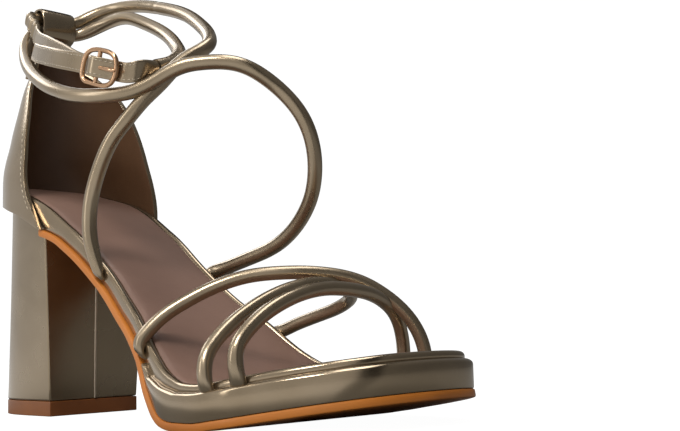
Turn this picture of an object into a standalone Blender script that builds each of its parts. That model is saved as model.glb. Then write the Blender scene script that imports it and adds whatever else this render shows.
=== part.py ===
"""Strappy sandal for the right foot, on a low platform and a covered block heel.

The toe points to -Y, the outer side of the foot to -X, and the floor is z = 0. The origin is on the
floor under the back of the heel seat. Stations run from the back of the seat (0) to the toe (1), and
tables give lengths as shares of the sizes named below.
"""
import bpy
import bmesh
from bisect import bisect_right
from math import acos, ceil, cos, pi, radians, sin
from mathutils import Matrix, Vector

MM = 0.001

# Driving sizes of the sole, in metres
SOLE_LENGTH = 0.215
BALL_WIDTH = 0.083
HEEL_SEAT_HEIGHT = 0.095
TOE_SPRING = 0.0083
OUTSOLE_THICKNESS = 0.0027
PLATFORM_THICKNESS = 0.0093
RIM_THICKNESS = 0.0026
SEAT_RIM_THICKNESS = 0.0070
PLATFORM_LEDGE = 0.0026
SHANK_LEDGE = 0.0010
RIM_WIDTH = 0.0027
INSOCK_THICKNESS = 0.0009

# Heel
HEEL_BOTTOM_WIDTH = 0.0412
HEEL_BOTTOM_BREAST = 0.0440
HEEL_BOTTOM_DEPTH = 0.0454
HEEL_BREAST = 0.0460
HEEL_TOP_INSET = 0.0018
TOP_LIFT_THICKNESS = 0.0058

# Counter and keeper
COUNTER_WALL = 0.0018
KEEPER_WIDTH = 0.0160
KEEPER_THICKNESS = 0.0014
KEEPER_DEPTH = 0.0115
KEEPER_HEIGHT = 0.0158
KEEPER_TAIL = 0.0140

# Straps
ANKLE_RISE = 0.075
CORD_DIAMETER = 0.0055
KEPT_CORD_DIAMETER = 0.0047
VAMP_CORD_DIAMETER = 0.0048
ROOT_WIDTH = 0.0074
ROOT_THICKNESS = 0.0016
ROOT_TUCK = 0.0045
ROOT_LIFT = 0.0007
FLAT_STRAP_WIDTH = 0.0074
FLAT_STRAP_THICKNESS = 0.0013

# Buckle
BUCKLE_LENGTH = 0.0192
BUCKLE_WIDTH = 0.0140
BUCKLE_WIRE = 0.0018
PRONG_WIRE = 0.0014

CLEARANCE = 0.0003

BALL_HALF = BALL_WIDTH / 2
TREAD_HEIGHT = OUTSOLE_THICKNESS + PLATFORM_THICKNESS + RIM_THICKNESS
OUTER, INNER = -1, 1

# Half widths of the footbed beside its long axis, as shares of half the ball width
OUTLINE = (
    # station, outer side, inner side
    (0.000, 0.000, 0.000),
    (0.019, 0.313, 0.301),
    (0.056, 0.494, 0.482),
    (0.116, 0.590, 0.590),
    (0.209, 0.627, 0.627),
    (0.302, 0.627, 0.602),
    (0.395, 0.614, 0.578),
    (0.488, 0.700, 0.614),
    (0.581, 0.848, 0.735),
    (0.674, 0.973, 0.887),
    (0.744, 1.012, 0.975),
    (0.800, 0.988, 1.000),
    (0.847, 0.906, 0.995),
    (0.907, 0.735, 0.928),
    (0.953, 0.511, 0.790),
    (0.986, 0.236, 0.590),
    (1.000, -0.193, 0.193),
)

# Height of the footbed's rim: a share of the seat's rise over the tread, and one of the toe spring
PROFILE = (
    # station, rise, spring
    (0.000, 1.000, 0.00),
    (0.056, 0.978, 0.00),
    (0.116, 0.938, 0.00),
    (0.177, 0.892, 0.00),
    (0.233, 0.826, 0.00),
    (0.279, 0.754, 0.00),
    (0.326, 0.677, 0.00),
    (0.400, 0.526, 0.00),
    (0.442, 0.440, 0.00),
    (0.488, 0.352, 0.00),
    (0.521, 0.295, 0.00),
    (0.553, 0.233, 0.00),
    (0.586, 0.161, 0.00),
    (0.614, 0.104, 0.00),
    (0.651, 0.047, 0.00),
    (0.679, 0.020, 0.00),
    (0.702, 0.004, 0.00),
    (0.736, 0.000, 0.00),
    (0.791, 0.000, 0.16),
    (0.837, 0.000, 0.34),
    (0.884, 0.000, 0.53),
    (0.930, 0.000, 0.72),
    (1.000, 0.000, 1.00),
)

# Footbed edge: a share of the way from the thin front rim to the thick seat rim, measured upright
RIM_EDGE = (
    # station, share
    (0.00, 1.25),
    (0.12, 1.35),
    (0.21, 1.65),
    (0.24, 1.40),
    (0.28, 1.05),
    (0.50, 0.95),
    (0.56, 1.02),
    (0.60, 1.10),
    (0.63, 0.68),
    (0.66, 0.36),
    (0.70, 0.10),
    (0.74, 0.00),
    (1.00, 0.00),
)

# The outsole's top: 1 where it hugs the footbed, 0 where it lies under the full platform
WEDGE = (
    # station, share
    (0.000, 1.00),
    (0.572, 1.00),
    (0.586, 0.93),
    (0.606, 0.76),
    (0.628, 0.50),
    (0.648, 0.25),
    (0.664, 0.10),
    (0.679, 0.03),
    (0.694, 0.00),
    (1.000, 0.00),
)

# How far the platform and outsole stand out past the footbed, 0 at the shank and 1 at the platform
LEDGE = (
    # station, share
    (0.00, 0.0),
    (0.56, 0.0),
    (0.62, 0.6),
    (0.68, 1.0),
    (1.00, 1.0),
)

PLATFORM_REAR = 0.583
SOLE_STATIONS = 34
WEDGE_STATIONS = (0.583, 0.595, 0.606, 0.617, 0.628, 0.638, 0.648, 0.656, 0.664, 0.672, 0.679, 0.694, 0.735)


def smooth(table, key, column):
    """Value of a table's column at key, on a cubic that never overshoots its rows."""
    rows = [(row[0], row[column]) for row in table]
    key = min(max(key, rows[0][0]), rows[-1][0])
    place = min(bisect_right([row[0] for row in rows], key), len(rows) - 1)
    steps = [(b[1] - a[1]) / (b[0] - a[0]) for a, b in zip(rows, rows[1:])]

    def slope(index):
        if index == 0 or index == len(rows) - 1:
            return steps[min(index, len(steps) - 1)]
        before, after = steps[index - 1], steps[index]
        return 0.0 if before * after <= 0 else 2 * before * after / (before + after)

    (x0, y0), (x1, y1) = rows[place - 1], rows[place]
    width = x1 - x0
    t = (key - x0) / width
    return (
        y0 * (1 + 2 * t) * (1 - t) ** 2
        + y1 * t * t * (3 - 2 * t)
        + slope(place - 1) * width * t * (1 - t) ** 2
        - slope(place) * width * t * t * (1 - t)
    )


def turn(station):
    """A station's angle share, which spreads the rows out at the round ends of the sole."""
    return acos(1 - 2 * min(max(station, 0.0), 1.0)) / pi


def station_at(turned):
    return (1 - cos(pi * turned)) / 2


TURNED_OUTLINE = tuple((turn(row[0]), row[1], row[2]) for row in OUTLINE)


def rim_top(station):
    rise = smooth(PROFILE, station, 1) * (HEEL_SEAT_HEIGHT - TREAD_HEIGHT)
    return TREAD_HEIGHT + rise + smooth(PROFILE, station, 2) * TOE_SPRING


def rim_bottom(station):
    extra = smooth(RIM_EDGE, station, 1) * (SEAT_RIM_THICKNESS - RIM_THICKNESS)
    return rim_top(station) - RIM_THICKNESS - extra


def outsole_top(station):
    ground = OUTSOLE_THICKNESS + smooth(PROFILE, station, 2) * TOE_SPRING
    hugging = rim_bottom(station) - CLEARANCE
    return ground + smooth(WEDGE, station, 1) * (hugging - ground)


def edge_point(side, turned):
    column = 1 if side == OUTER else 2
    half = smooth(TURNED_OUTLINE, turned, column) * BALL_HALF
    return Vector((side * half, -station_at(turned) * SOLE_LENGTH))


def edge(side, station, offset=0.0):
    """Point on the footbed's outline in plan, moved out by offset, and its outward direction."""
    turned = turn(station)
    step = 0.004
    ahead = edge_point(side, min(turned + step, 1.0))
    behind = edge_point(side, max(turned - step, 0.0))
    along = ahead - behind
    if turned <= step:
        along = Vector((side, 0.0))
    if turned >= 1 - step:
        along = Vector((-side, 0.0))
    outward = Vector((-along.y, along.x)).normalized() * side
    return edge_point(side, turned) + outward * offset, outward


def sole_stations(first, last):
    spread = [station_at(i / SOLE_STATIONS) for i in range(SOLE_STATIONS + 1)]
    close = 0.3 / SOLE_STATIONS
    spread = [s for s in spread if all(abs(s - w) > close for w in WEDGE_STATIONS)]
    inside = [s for s in (*spread, *WEDGE_STATIONS) if first + 0.002 < s < last - 0.0005]
    return sorted([first, *inside, last])


def finish(obj, colour, metallic, roughness, coat=0.0):
    material = bpy.data.materials.new(obj.name + "_finish")
    material.use_nodes = True
    shader = material.node_tree.nodes["Principled BSDF"]
    shader.inputs["Base Color"].default_value = (*colour, 1.0)
    shader.inputs["Metallic"].default_value = metallic
    shader.inputs["Roughness"].default_value = roughness
    shader.inputs["Coat Weight"].default_value = coat
    material.diffuse_color = (*colour, 1.0)
    obj.data.materials.clear()
    obj.data.materials.append(material)


def champagne(obj):
    finish(obj, (0.30, 0.25, 0.18), 0.9, 0.22, 0.4)


def solid(name, points, faces, sharp=35):
    """A mesh object in the model's collection, with its faces turned outwards."""
    mesh = bpy.data.meshes.new(name)
    mesh.from_pydata(points, [], faces)
    shape = bmesh.new()
    shape.from_mesh(mesh)
    bmesh.ops.remove_doubles(shape, verts=shape.verts, dist=1e-6)
    bmesh.ops.recalc_face_normals(shape, faces=shape.faces)
    if shape.calc_volume(signed=True) < 0:
        bmesh.ops.reverse_faces(shape, faces=shape.faces)
    shape.to_mesh(mesh)
    shape.free()
    mesh.shade_smooth()
    mesh.set_sharp_from_angle(angle=radians(sharp))
    obj = bpy.data.objects.new(name, mesh)
    model.objects.link(obj)
    return obj


def layer(name, loops, first, last, rounded_rear=True):
    """Sole layer from loops listed top to bottom, each an offset from the outline and a height."""
    stations = sole_stations(first, last)
    points = []
    for offset, height in loops:
        for side in (OUTER, INNER):
            for station in stations:
                place, _ = edge(side, station, offset(station))
                rise, shift = height(station)
                points.append((place.x, place.y - shift, rise))
    count = len(stations)
    ring = 2 * count
    faces = []
    for base, flip in ((0, False), ((len(loops) - 1) * ring, True)):
        for i in range(count - 1):
            quad = [base + i, base + i + 1, base + count + i + 1, base + count + i]
            faces.append(quad[::-1] if flip else quad)
    for level in range(len(loops) - 1):
        top, low = level * ring, (level + 1) * ring
        for i in range(count - 1):
            faces.append((top + i, low + i, low + i + 1, top + i + 1))
            faces.append((top + count + i + 1, low + count + i + 1, low + count + i, top + count + i))
        if not rounded_rear:
            faces.append((top, top + count, low + count, low))
    return solid(name, points, faces)


def even(value):
    return lambda station: value


def under_rim(drop):
    return lambda station: (rim_top(station) - drop, 0.0)


# Footbed board: its wrapped edge is a rounded rim round a shallow recess for the insock
RIM_ROWS = (
    # inset, drop, both as shares of the rim's width
    (1.15, 0.48),
    (0.95, 0.08),
    (0.50, 0.00),
    (0.14, 0.14),
    (0.00, 0.50),
)


def footbed_loops():
    rows = []
    for inset, drop in RIM_ROWS:
        rows.append((even(-inset * RIM_WIDTH), under_rim(drop * RIM_WIDTH)))
    rows.append((even(0.0), lambda station: (rim_bottom(station), 0.0)))
    return rows


def build_footbed():
    obj = layer("footbed", footbed_loops(), 0.0, 1.0)
    champagne(obj)
    return obj


def build_insock():
    inset = RIM_ROWS[0][0] * RIM_WIDTH + CLEARANCE
    floor = RIM_ROWS[0][1] * RIM_WIDTH - CLEARANCE
    loops = (
        (even(-inset - 0.4 * INSOCK_THICKNESS), under_rim(floor - INSOCK_THICKNESS)),
        (even(-inset), under_rim(floor - 0.6 * INSOCK_THICKNESS)),
        (even(-inset), under_rim(floor)),
    )
    obj = layer("insock", loops, 0.0, 1.0)
    finish(obj, (0.20, 0.125, 0.095), 0.0, 0.6)
    return obj


def platform_ledge(station):
    return SHANK_LEDGE + smooth(LEDGE, station, 1) * (PLATFORM_LEDGE - SHANK_LEDGE)


def build_platform():
    soft = 0.0012

    def top(station):
        return rim_bottom(station) - CLEARANCE, 0.0

    def shoulder(station):
        depth = rim_bottom(station) - 2 * CLEARANCE - outsole_top(station)
        return rim_bottom(station) - CLEARANCE - min(soft, 0.5 * depth), 0.0

    def bottom(station):
        return outsole_top(station) + CLEARANCE, 0.0

    loops = (
        (lambda station: platform_ledge(station) - 0.7 * soft, top),
        (platform_ledge, shoulder),
        (platform_ledge, bottom),
    )
    obj = layer("platform", loops, PLATFORM_REAR, 1.0, rounded_rear=False)
    champagne(obj)
    return obj


OUTSOLE_REAR = (HEEL_BREAST + CLEARANCE) / SOLE_LENGTH


def outsole_under(station):
    """Underside's height and forward shift: square to the top, but upright at the heel's breast."""
    step = 0.002
    run = 2 * step * SOLE_LENGTH
    slope = (outsole_top(station + step) - outsole_top(station - step)) / run
    if outsole_top(station) <= OUTSOLE_THICKNESS:
        slope = 0.0
    length = (1 + slope * slope) ** 0.5
    shift = OUTSOLE_THICKNESS * slope / length
    square = min((station - OUTSOLE_REAR) / 0.05, 1.0)
    drop = OUTSOLE_THICKNESS / length + slope * shift * (1 - square)
    return outsole_top(station) - drop, shift * square


def build_outsole():
    def width(station):
        return platform_ledge(station) + 0.0002

    def height(station):
        return outsole_top(station), 0.0

    loops = ((width, height), (width, outsole_under))
    obj = layer("outsole", loops, OUTSOLE_REAR, 1.0, rounded_rear=False)
    finish(obj, (0.46, 0.17, 0.05), 0.0, 0.45)
    return obj


HEEL_SIDE_POINTS = 12
HEEL_LEVELS = (0.0, 0.12, 0.35, 0.65, 1.0)


def heel_bottom_point(side, share):
    """Foot of the heel in plan: flat breast, straight sides and rounded back corners."""
    depth = 1 - cos(share * pi / 2)
    half = HEEL_BOTTOM_WIDTH / 2 * (1 - (1 - depth) ** 3.6) ** (1 / 3.6)
    back = HEEL_BOTTOM_BREAST - HEEL_BOTTOM_DEPTH
    return Vector((side * half, -(back + depth * HEEL_BOTTOM_DEPTH)))


def heel_top_point(side, share):
    depth = 1 - cos(share * pi / 2)
    station = depth * HEEL_BREAST / SOLE_LENGTH
    place, _ = edge(side, station, -HEEL_TOP_INSET)
    return Vector((place.x, max(place.y, -HEEL_BREAST)))


def heel_outline(blend):
    """The heel's outline from the outer breast corner round the back; blend 0 is its foot."""
    shares = [i / HEEL_SIDE_POINTS for i in range(HEEL_SIDE_POINTS, -1, -1)]
    around = [(OUTER, share) for share in shares] + [(INNER, share) for share in shares[-2::-1]]
    return [heel_bottom_point(*at).lerp(heel_top_point(*at), blend) for at in around]


def heel_piece(name, levels):
    """Loft through levels, each an outline and the height of every point of it."""
    points, faces = [], []
    for outline, heights in levels:
        points.extend((p.x, p.y, z) for p, z in zip(outline, heights))
    count = len(levels[0][0])
    for base in (0, (len(levels) - 1) * count):
        for i in range(count // 2):
            mirror = count - 1 - i
            faces.append([base + k for k in dict.fromkeys((i, i + 1, mirror - 1, mirror))])
    for level in range(len(levels) - 1):
        low, top = level * count, (level + 1) * count
        for i in range(count):
            after = (i + 1) % count
            faces.append((low + i, low + after, top + after, top + i))
    return solid(name, points, faces)


def build_heel():
    foot = TOP_LIFT_THICKNESS + CLEARANCE
    crown_outline = heel_outline(1.0)
    crown = [rim_bottom(-p.y / SOLE_LENGTH) - CLEARANCE for p in crown_outline]
    levels = []
    for blend in HEEL_LEVELS:
        heights = [foot + blend * (high - foot) for high in crown]
        levels.append((heel_outline(blend), heights))
    obj = heel_piece("heel_block", levels)
    champagne(obj)
    lift = heel_outline(0.0)
    top_lift = heel_piece("top_lift", [(lift, [z] * len(lift)) for z in (0.0, TOP_LIFT_THICKNESS)])
    finish(top_lift, (0.26, 0.10, 0.04), 0.0, 0.5)


# The counter's outer face, row by row from the heel seat up to its tongue
COUNTER = (
    # height share, outer and inner half as shares of half the ball width,
    # outer front, inner front and back as stations, roundness
    (0.00, 0.641, 0.641, 0.2256, 0.2279, -0.0102, 3.0),
    (0.12, 0.640, 0.650, 0.1814, 0.2288, -0.0126, 2.8),
    (0.25, 0.612, 0.640, 0.1558, 0.2242, -0.0112, 2.4),
    (0.40, 0.552, 0.618, 0.1340, 0.2084, -0.0052, 2.1),
    (0.55, 0.465, 0.586, 0.1149, 0.1837, 0.0035, 2.0),
    (0.70, 0.361, 0.525, 0.0884, 0.1465, 0.0140, 1.9),
    (0.82, 0.255, 0.381, 0.0698, 0.1047, 0.0256, 1.8),
    (0.91, 0.202, 0.236, 0.0628, 0.0698, 0.0353, 1.7),
    (1.00, 0.178, 0.178, 0.0619, 0.0619, 0.0442, 1.6),
)
KEEPER_STATION = 0.0628
KEEPER_RISE = 0.963
COUNTER_ROWS = 11
COUNTER_SIDE_POINTS = 12


def over(across, station, rise):
    """Point beside the long axis and above the rim: shares of the ball, length and ankle rise."""
    height = rim_top(min(max(station, 0.0), 1.0)) + rise * ANKLE_RISE
    return Vector((across * BALL_HALF, -station * SOLE_LENGTH, height))


def counter_crest():
    centre = over(0.0, KEEPER_STATION, KEEPER_RISE)
    return centre.z - KEEPER_HEIGHT / 2 - CLEARANCE


def counter_point(side, share, up):
    """Point on the counter's outer face: share runs from the back line to a front edge."""
    front = smooth(COUNTER, up, 3 if side == OUTER else 4) * SOLE_LENGTH
    back = smooth(COUNTER, up, 5) * SOLE_LENGTH
    width = smooth(COUNTER, up, 1 if side == OUTER else 2) * BALL_HALF
    depth = 1 - cos(share * pi / 2)
    along = back + depth * (front - back)
    across = width * (1 - (1 - depth) ** smooth(COUNTER, up, 6)) ** 0.5
    snug, _ = edge(side, depth * front / SOLE_LENGTH, COUNTER_WALL + 1.6 * CLEARANCE)
    free = min(max((up - 0.10) / 0.25, 0.0), 1.0)
    free = free * free * (3 - 2 * free)
    x = (1 - free) * abs(snug.x) + free * across
    y = (1 - free) * snug.y - free * along
    base = rim_bottom(max(-y, 0.0) / SOLE_LENGTH)
    return Vector((side * x, y, base + up * (counter_crest() - base)))


def build_counter():
    shares = [i / COUNTER_SIDE_POINTS for i in range(COUNTER_SIDE_POINTS, -1, -1)]
    points, faces = [], []
    for row in range(COUNTER_ROWS + 1):
        up = row / COUNTER_ROWS
        points += [counter_point(OUTER, share, up) for share in shares]
        points += [counter_point(INNER, share, up) for share in shares[-2::-1]]
    count = 2 * len(shares) - 1
    for row in range(COUNTER_ROWS):
        for i in range(count - 1):
            a = row * count + i
            faces.append((a, a + count, a + count + 1, a + 1))
    mesh = bpy.data.meshes.new("counter")
    mesh.from_pydata(points, [], faces)
    mesh.shade_smooth()
    obj = bpy.data.objects.new("counter", mesh)
    model.objects.link(obj)
    wall = obj.modifiers.new("wall", "SOLIDIFY")
    wall.thickness = COUNTER_WALL
    wall.offset = -1
    wall.use_even_offset = True
    champagne(obj)
    return obj


def curve_rows(rows, spacing):
    """Rows of numbers on a smooth curve through the given ones, about spacing apart."""
    rows = [tuple(row) for row in rows]
    spans = [(Vector(b[:3]) - Vector(a[:3])).length for a, b in zip(rows, rows[1:])]
    rates = [[(y - x) / span for x, y in zip(a, b)] for a, b, span in zip(rows, rows[1:], spans)]
    slopes = [rates[0]]
    for i in range(1, len(rates)):
        share = spans[i - 1] / (spans[i - 1] + spans[i])
        slopes.append([x * (1 - share) + y * share for x, y in zip(rates[i - 1], rates[i])])
    slopes.append(rates[-1])
    smoothed = [rows[0]]
    for i, span in enumerate(spans):
        steps = max(1, ceil(span / spacing))
        for step in range(1, steps + 1):
            t = step / steps
            h = (1 + 2 * t) * (1 - t) ** 2, t * t * (3 - 2 * t), t * (1 - t) ** 2, t * t * (t - 1)
            ends = zip(rows[i], rows[i + 1], slopes[i], slopes[i + 1])
            smoothed.append(tuple(h[0] * a + h[1] * b + span * (h[2] * c + h[3] * d) for a, b, c, d in ends))
    return smoothed


def square_to(direction, tangent):
    return (direction - tangent * direction.dot(tangent)).normalized()


def carried_across(tangents, reach, first, last):
    """Width directions: the first and last rows keep the given ones, the rest turn evenly between."""
    count = len(tangents)
    across = [square_to(way, tangents[i]) for i, way in enumerate(first)]
    for i in range(len(first), count):
        carried = tangents[i - 1].rotation_difference(tangents[i]) @ across[-1]
        across.append(square_to(carried, tangents[i]))
    begin, end = len(first) - 1, count - len(last)
    wanted = square_to(last[0], tangents[end])
    turned = 1 if wanted.dot(across[end]) > 0 else -1
    wanted = wanted * turned
    twist = across[end].angle(wanted)
    if across[end].cross(wanted).dot(tangents[end]) < 0:
        twist = -twist
    for i in range(begin, end + 1):
        share = (reach[i] - reach[begin]) / (reach[end] - reach[begin])
        across[i] = Matrix.Rotation(twist * share, 3, tangents[i]) @ across[i]
    for i in range(end + 1, count):
        across[i] = square_to(last[i - end], tangents[i]) * turned
    return across


def sweep(name, rows, first, last=None, sides=10):
    """Strap through rows of x, y, z, half width, half thickness and roundness of its section.

    first and last are lists of its width's direction at its ends, or first is the one direction
    of a strap that bends in one plane."""
    centres = [Vector(row[:3]) for row in rows]
    end = len(rows) - 1
    tangents = [(centres[min(i + 1, end)] - centres[max(i - 1, 0)]).normalized() for i in range(end + 1)]
    reach = [0.0]
    for i in range(end):
        reach.append(reach[-1] + (centres[i + 1] - centres[i]).length)
    if last is None:
        across = [square_to(Vector(first), tangent) for tangent in tangents]
    else:
        across = carried_across(tangents, reach, first, last)
    points, faces = [], []
    for i, (_, _, _, half_width, half_thickness, roundness) in enumerate(rows):
        thick = tangents[i].cross(across[i])
        for k in range(sides):
            angle = 2 * pi * (k + 0.5) / sides
            c, s = cos(angle), sin(angle)
            c = abs(c) ** roundness * (1 if c > 0 else -1)
            s = abs(s) ** roundness * (1 if s > 0 else -1)
            points.append(centres[i] + across[i] * half_width * c + thick * half_thickness * s)
    for i in range(end):
        for k in range(sides):
            a, b = i * sides + k, i * sides + (k + 1) % sides
            faces.append((a, b, b + sides, a + sides))
    faces.append(list(range(sides)))
    faces.append([end * sides + k for k in range(sides)])
    return solid(name, points, faces)


def combined(target, tools, operation):
    """Apply Boolean modifiers for the tools to the target, then remove the tools."""
    for tool in tools:
        change = target.modifiers.new(tool.name, "BOOLEAN")
        change.operation = operation
        change.object = tool
    bpy.context.view_layer.update()
    evaluated = target.evaluated_get(bpy.context.evaluated_depsgraph_get())
    mesh = bpy.data.meshes.new_from_object(evaluated)
    target.modifiers.clear()
    target.data = mesh
    for tool in tools:
        bpy.data.objects.remove(tool, do_unlink=True)
    mesh.shade_smooth()
    mesh.set_sharp_from_angle(angle=radians(35))
    return target


ROUND, FLAT = 1.0, 0.45
VAMP_SPACING = 0.0060
ANKLE_SPACING = 0.0065


def root_rows(side, station, under_footbed):
    """A strap's flat end: tucked in level at the footbed's edge, then up beside the rim."""
    half = ROOT_THICKNESS / 2
    beside = CLEARANCE + half
    lift = half + ROOT_LIFT if under_footbed else -CLEARANCE - half
    rows = []
    for offset, up in ((-ROOT_TUCK, 0), (-0.3 * ROOT_TUCK, 0), (0.55 * half, 0.35 * half), (beside, 2.6 * half)):
        place, _ = edge(side, station, offset)
        height = rim_bottom(-place.y / SOLE_LENGTH) + lift + up
        rows.append((place.x, place.y, height, ROOT_WIDTH / 2, half, 0.7))
    place, _ = edge(side, station, beside)
    height = max(rim_bottom(station) + 6.0 * half, rim_top(station) + CLEARANCE)
    rows.append((place.x, place.y, height, 0.80 * ROOT_WIDTH / 2, 1.15 * half, 0.8))
    return rows


def root_across(side, station):
    ahead, _ = edge(side, station + 0.01, 0.0)
    behind, _ = edge(side, station - 0.01, 0.0)
    run = ahead - behind
    fall = rim_bottom(station + 0.01) - rim_bottom(station - 0.01)
    return Vector((run.x, run.y, fall))


def root_acrosses(side, station):
    """Width directions of a root's rows: along the slope where tucked in, level where upright."""
    sloped = root_across(side, station)
    level = Vector((sloped.x, sloped.y, 0.0))
    return [sloped, sloped, sloped, level, level]


def free_rows(points, radius):
    return [(*over(*point), radius, radius, ROUND) for point in points]


def pocket(name, side, station, under_footbed):
    """Cutter for the slot that a strap's flat end lies in, open towards the outside."""
    thick = ROOT_THICKNESS
    low, high, out = -thick - 2 * CLEARANCE, 1.0 * MM, thick + 2 * CLEARANCE
    if under_footbed:
        low, high, out = -1.0 * MM, ROOT_LIFT + thick + 3 * CLEARANCE, 4.0 * MM
    along = root_across(side, station).normalized() * (ROOT_WIDTH / 2 + 2.5 * CLEARANCE)
    points = []
    for offset in (-ROOT_TUCK - 4 * CLEARANCE, out):
        place, _ = edge(side, station, offset)
        base = rim_bottom(-place.y / SOLE_LENGTH)
        for up in (low, high):
            for turn_side in (-1, 1):
                points.append(Vector((place.x, place.y, base + up)) + along * turn_side)
    faces = ((0, 1, 3, 2), (4, 5, 7, 6), (0, 1, 5, 4), (2, 3, 7, 6), (0, 2, 6, 4), (1, 3, 7, 5))
    return solid(name, points, faces)


# Routes of the vamp straps over the toes, between their roots
VAMP_ACROSS = (
    # side shares, station, rise: from behind the outer ball to the inner toes
    (-0.822, 0.575, 0.047),
    (-0.725, 0.582, 0.068),
    (-0.518, 0.614, 0.225),
    (-0.373, 0.637, 0.327),
    (-0.154, 0.672, 0.420),
    (0.060, 0.708, 0.472),
    (0.289, 0.741, 0.472),
    (0.590, 0.786, 0.412),
    (0.747, 0.808, 0.340),
    (0.890, 0.826, 0.250),
    (0.995, 0.839, 0.140),
)
VAMP_RISING = (
    # from the outer toes, over the ball and back to the inner waist
    (-1.040, 0.768, 0.080),
    (-0.855, 0.762, 0.188),
    (-0.530, 0.757, 0.297),
    (-0.193, 0.758, 0.375),
    (0.181, 0.760, 0.415),
    (0.410, 0.761, 0.405),
    (0.600, 0.755, 0.350),
    (0.747, 0.700, 0.305),
    (0.792, 0.630, 0.182),
    (0.786, 0.596, 0.075),
)
VAMP_FRONT = (
    # the foremost strap, from the outer to the inner toes
    (-1.010, 0.826, 0.080),
    (-0.831, 0.826, 0.199),
    (-0.542, 0.829, 0.290),
    (-0.181, 0.829, 0.346),
    (0.241, 0.825, 0.351),
    (0.651, 0.813, 0.320),
    (0.904, 0.804, 0.251),
    (1.031, 0.796, 0.150),
)
VAMP_STRAPS = (
    # route, then side, station and seat of its first and last roots
    (VAMP_ACROSS, (OUTER, 0.562, True), (INNER, 0.843, False)),
    (VAMP_RISING, (OUTER, 0.772, False), (INNER, 0.560, True)),
    (VAMP_FRONT, (OUTER, 0.826, False), (INNER, 0.795, False)),
)


def build_vamp_straps():
    radius = VAMP_CORD_DIAMETER / 2
    straps = []
    for number, (route, first, last) in enumerate(VAMP_STRAPS):
        rows = root_rows(*first) + free_rows(route, radius) + root_rows(*last)[::-1]
        name = "vamp_straps" if number == 0 else f"vamp_strap_{number}"
        acrosses = root_acrosses(*first[:2]), root_acrosses(*last[:2])[::-1]
        straps.append(sweep(name, curve_rows(rows, VAMP_SPACING), *acrosses))
    joined = combined(straps[0], straps[1:], "UNION")
    champagne(joined)
    return joined


# Route of the outer ankle cord: inner waist, over the instep, round the outer ankle to the keeper
ANKLE_OUTER = (
    (0.747, 0.462, 0.171),
    (0.795, 0.530, 0.348),
    (0.819, 0.591, 0.538),
    (0.795, 0.634, 0.724),
    (0.747, 0.660, 0.880),
    (0.675, 0.675, 1.021),
    (0.530, 0.686, 1.214),
    (0.337, 0.661, 1.351),
    (0.145, 0.643, 1.414),
    (-0.096, 0.595, 1.362),
    (-0.289, 0.553, 1.250),
    (-0.434, 0.515, 1.106),
    (-0.542, 0.490, 1.012),
    (-0.675, 0.438, 0.895),
    (-0.771, 0.373, 0.774),
    (-0.771, 0.304, 0.697),
    (-0.687, 0.224, 0.665),
    (-0.530, 0.134, 0.720),
    (-0.405, 0.088, 0.790),
    (-0.315, 0.068, 0.868),
)
# It leaves the keeper on the inner side and comes round the front to the buckle
ANKLE_RETURN = (
    (0.313, 0.075, 0.955),
    (0.415, 0.108, 1.020),
    (0.482, 0.170, 1.090),
    (0.482, 0.246, 1.104),
    (0.410, 0.328, 1.130),
    (0.241, 0.402, 1.165),
    (0.024, 0.461, 1.190),
    (-0.181, 0.488, 1.173),
    (-0.360, 0.493, 1.148),
)
# Route of the inner ankle cord: outer waist, across the instep and round the inner ankle
ANKLE_INNER = (
    (-0.687, 0.392, 0.060),
    (-0.699, 0.389, 0.158),
    (-0.699, 0.391, 0.255),
    (-0.687, 0.399, 0.369),
    (-0.675, 0.419, 0.531),
    (-0.651, 0.442, 0.686),
    (-0.578, 0.472, 0.847),
    (-0.482, 0.491, 0.978),
    (-0.361, 0.508, 1.084),
    (-0.302, 0.514, 1.145),
    (-0.120, 0.524, 1.261),
    (0.024, 0.536, 1.332),
    (0.217, 0.502, 1.363),
    (0.386, 0.438, 1.353),
    (0.530, 0.357, 1.299),
    (0.602, 0.268, 1.230),
    (0.602, 0.165, 1.169),
    (0.520, 0.108, 1.128),
    (0.400, 0.080, 1.075),
    (0.300, 0.066, 1.024),
)
INNER_WAIST_ROOT = (INNER, 0.406, True)
OUTER_WAIST_ROOT = (OUTER, 0.400, True)


def keeper_centre():
    return over(0.0, KEEPER_STATION, KEEPER_RISE)


def kept_rows(step, first, last):
    """Rows of a cord inside the keeper, half its spacing above or below the middle."""
    radius = KEPT_CORD_DIAMETER / 2
    rows = []
    for across in (first, (first + last) / 2, last):
        place = keeper_centre() + Vector((across, 0, step * (radius + CLEARANCE)))
        rows.append((*place, radius, radius, ROUND))
    return rows


def build_ankle_cords():
    radius = CORD_DIAMETER / 2
    mouth = KEEPER_WIDTH / 2 + 0.0006
    outer = root_rows(*INNER_WAIST_ROOT) + free_rows(ANKLE_OUTER, radius)
    outer += kept_rows(-1, -mouth, mouth) + free_rows(ANKLE_RETURN, radius)
    inner = root_rows(*OUTER_WAIST_ROOT) + free_rows(ANKLE_INNER, radius)
    inner += kept_rows(1, mouth, -0.7 * mouth)
    up = [Vector((0, 0, 1))]
    cord = sweep("ankle_cords", curve_rows(outer, ANKLE_SPACING), root_acrosses(*INNER_WAIST_ROOT[:2]), up)
    other = sweep("inner_cord", curve_rows(inner, ANKLE_SPACING), root_acrosses(*OUTER_WAIST_ROOT[:2]), up)
    joined = combined(cord, [other], "UNION")
    champagne(joined)
    return joined


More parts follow.
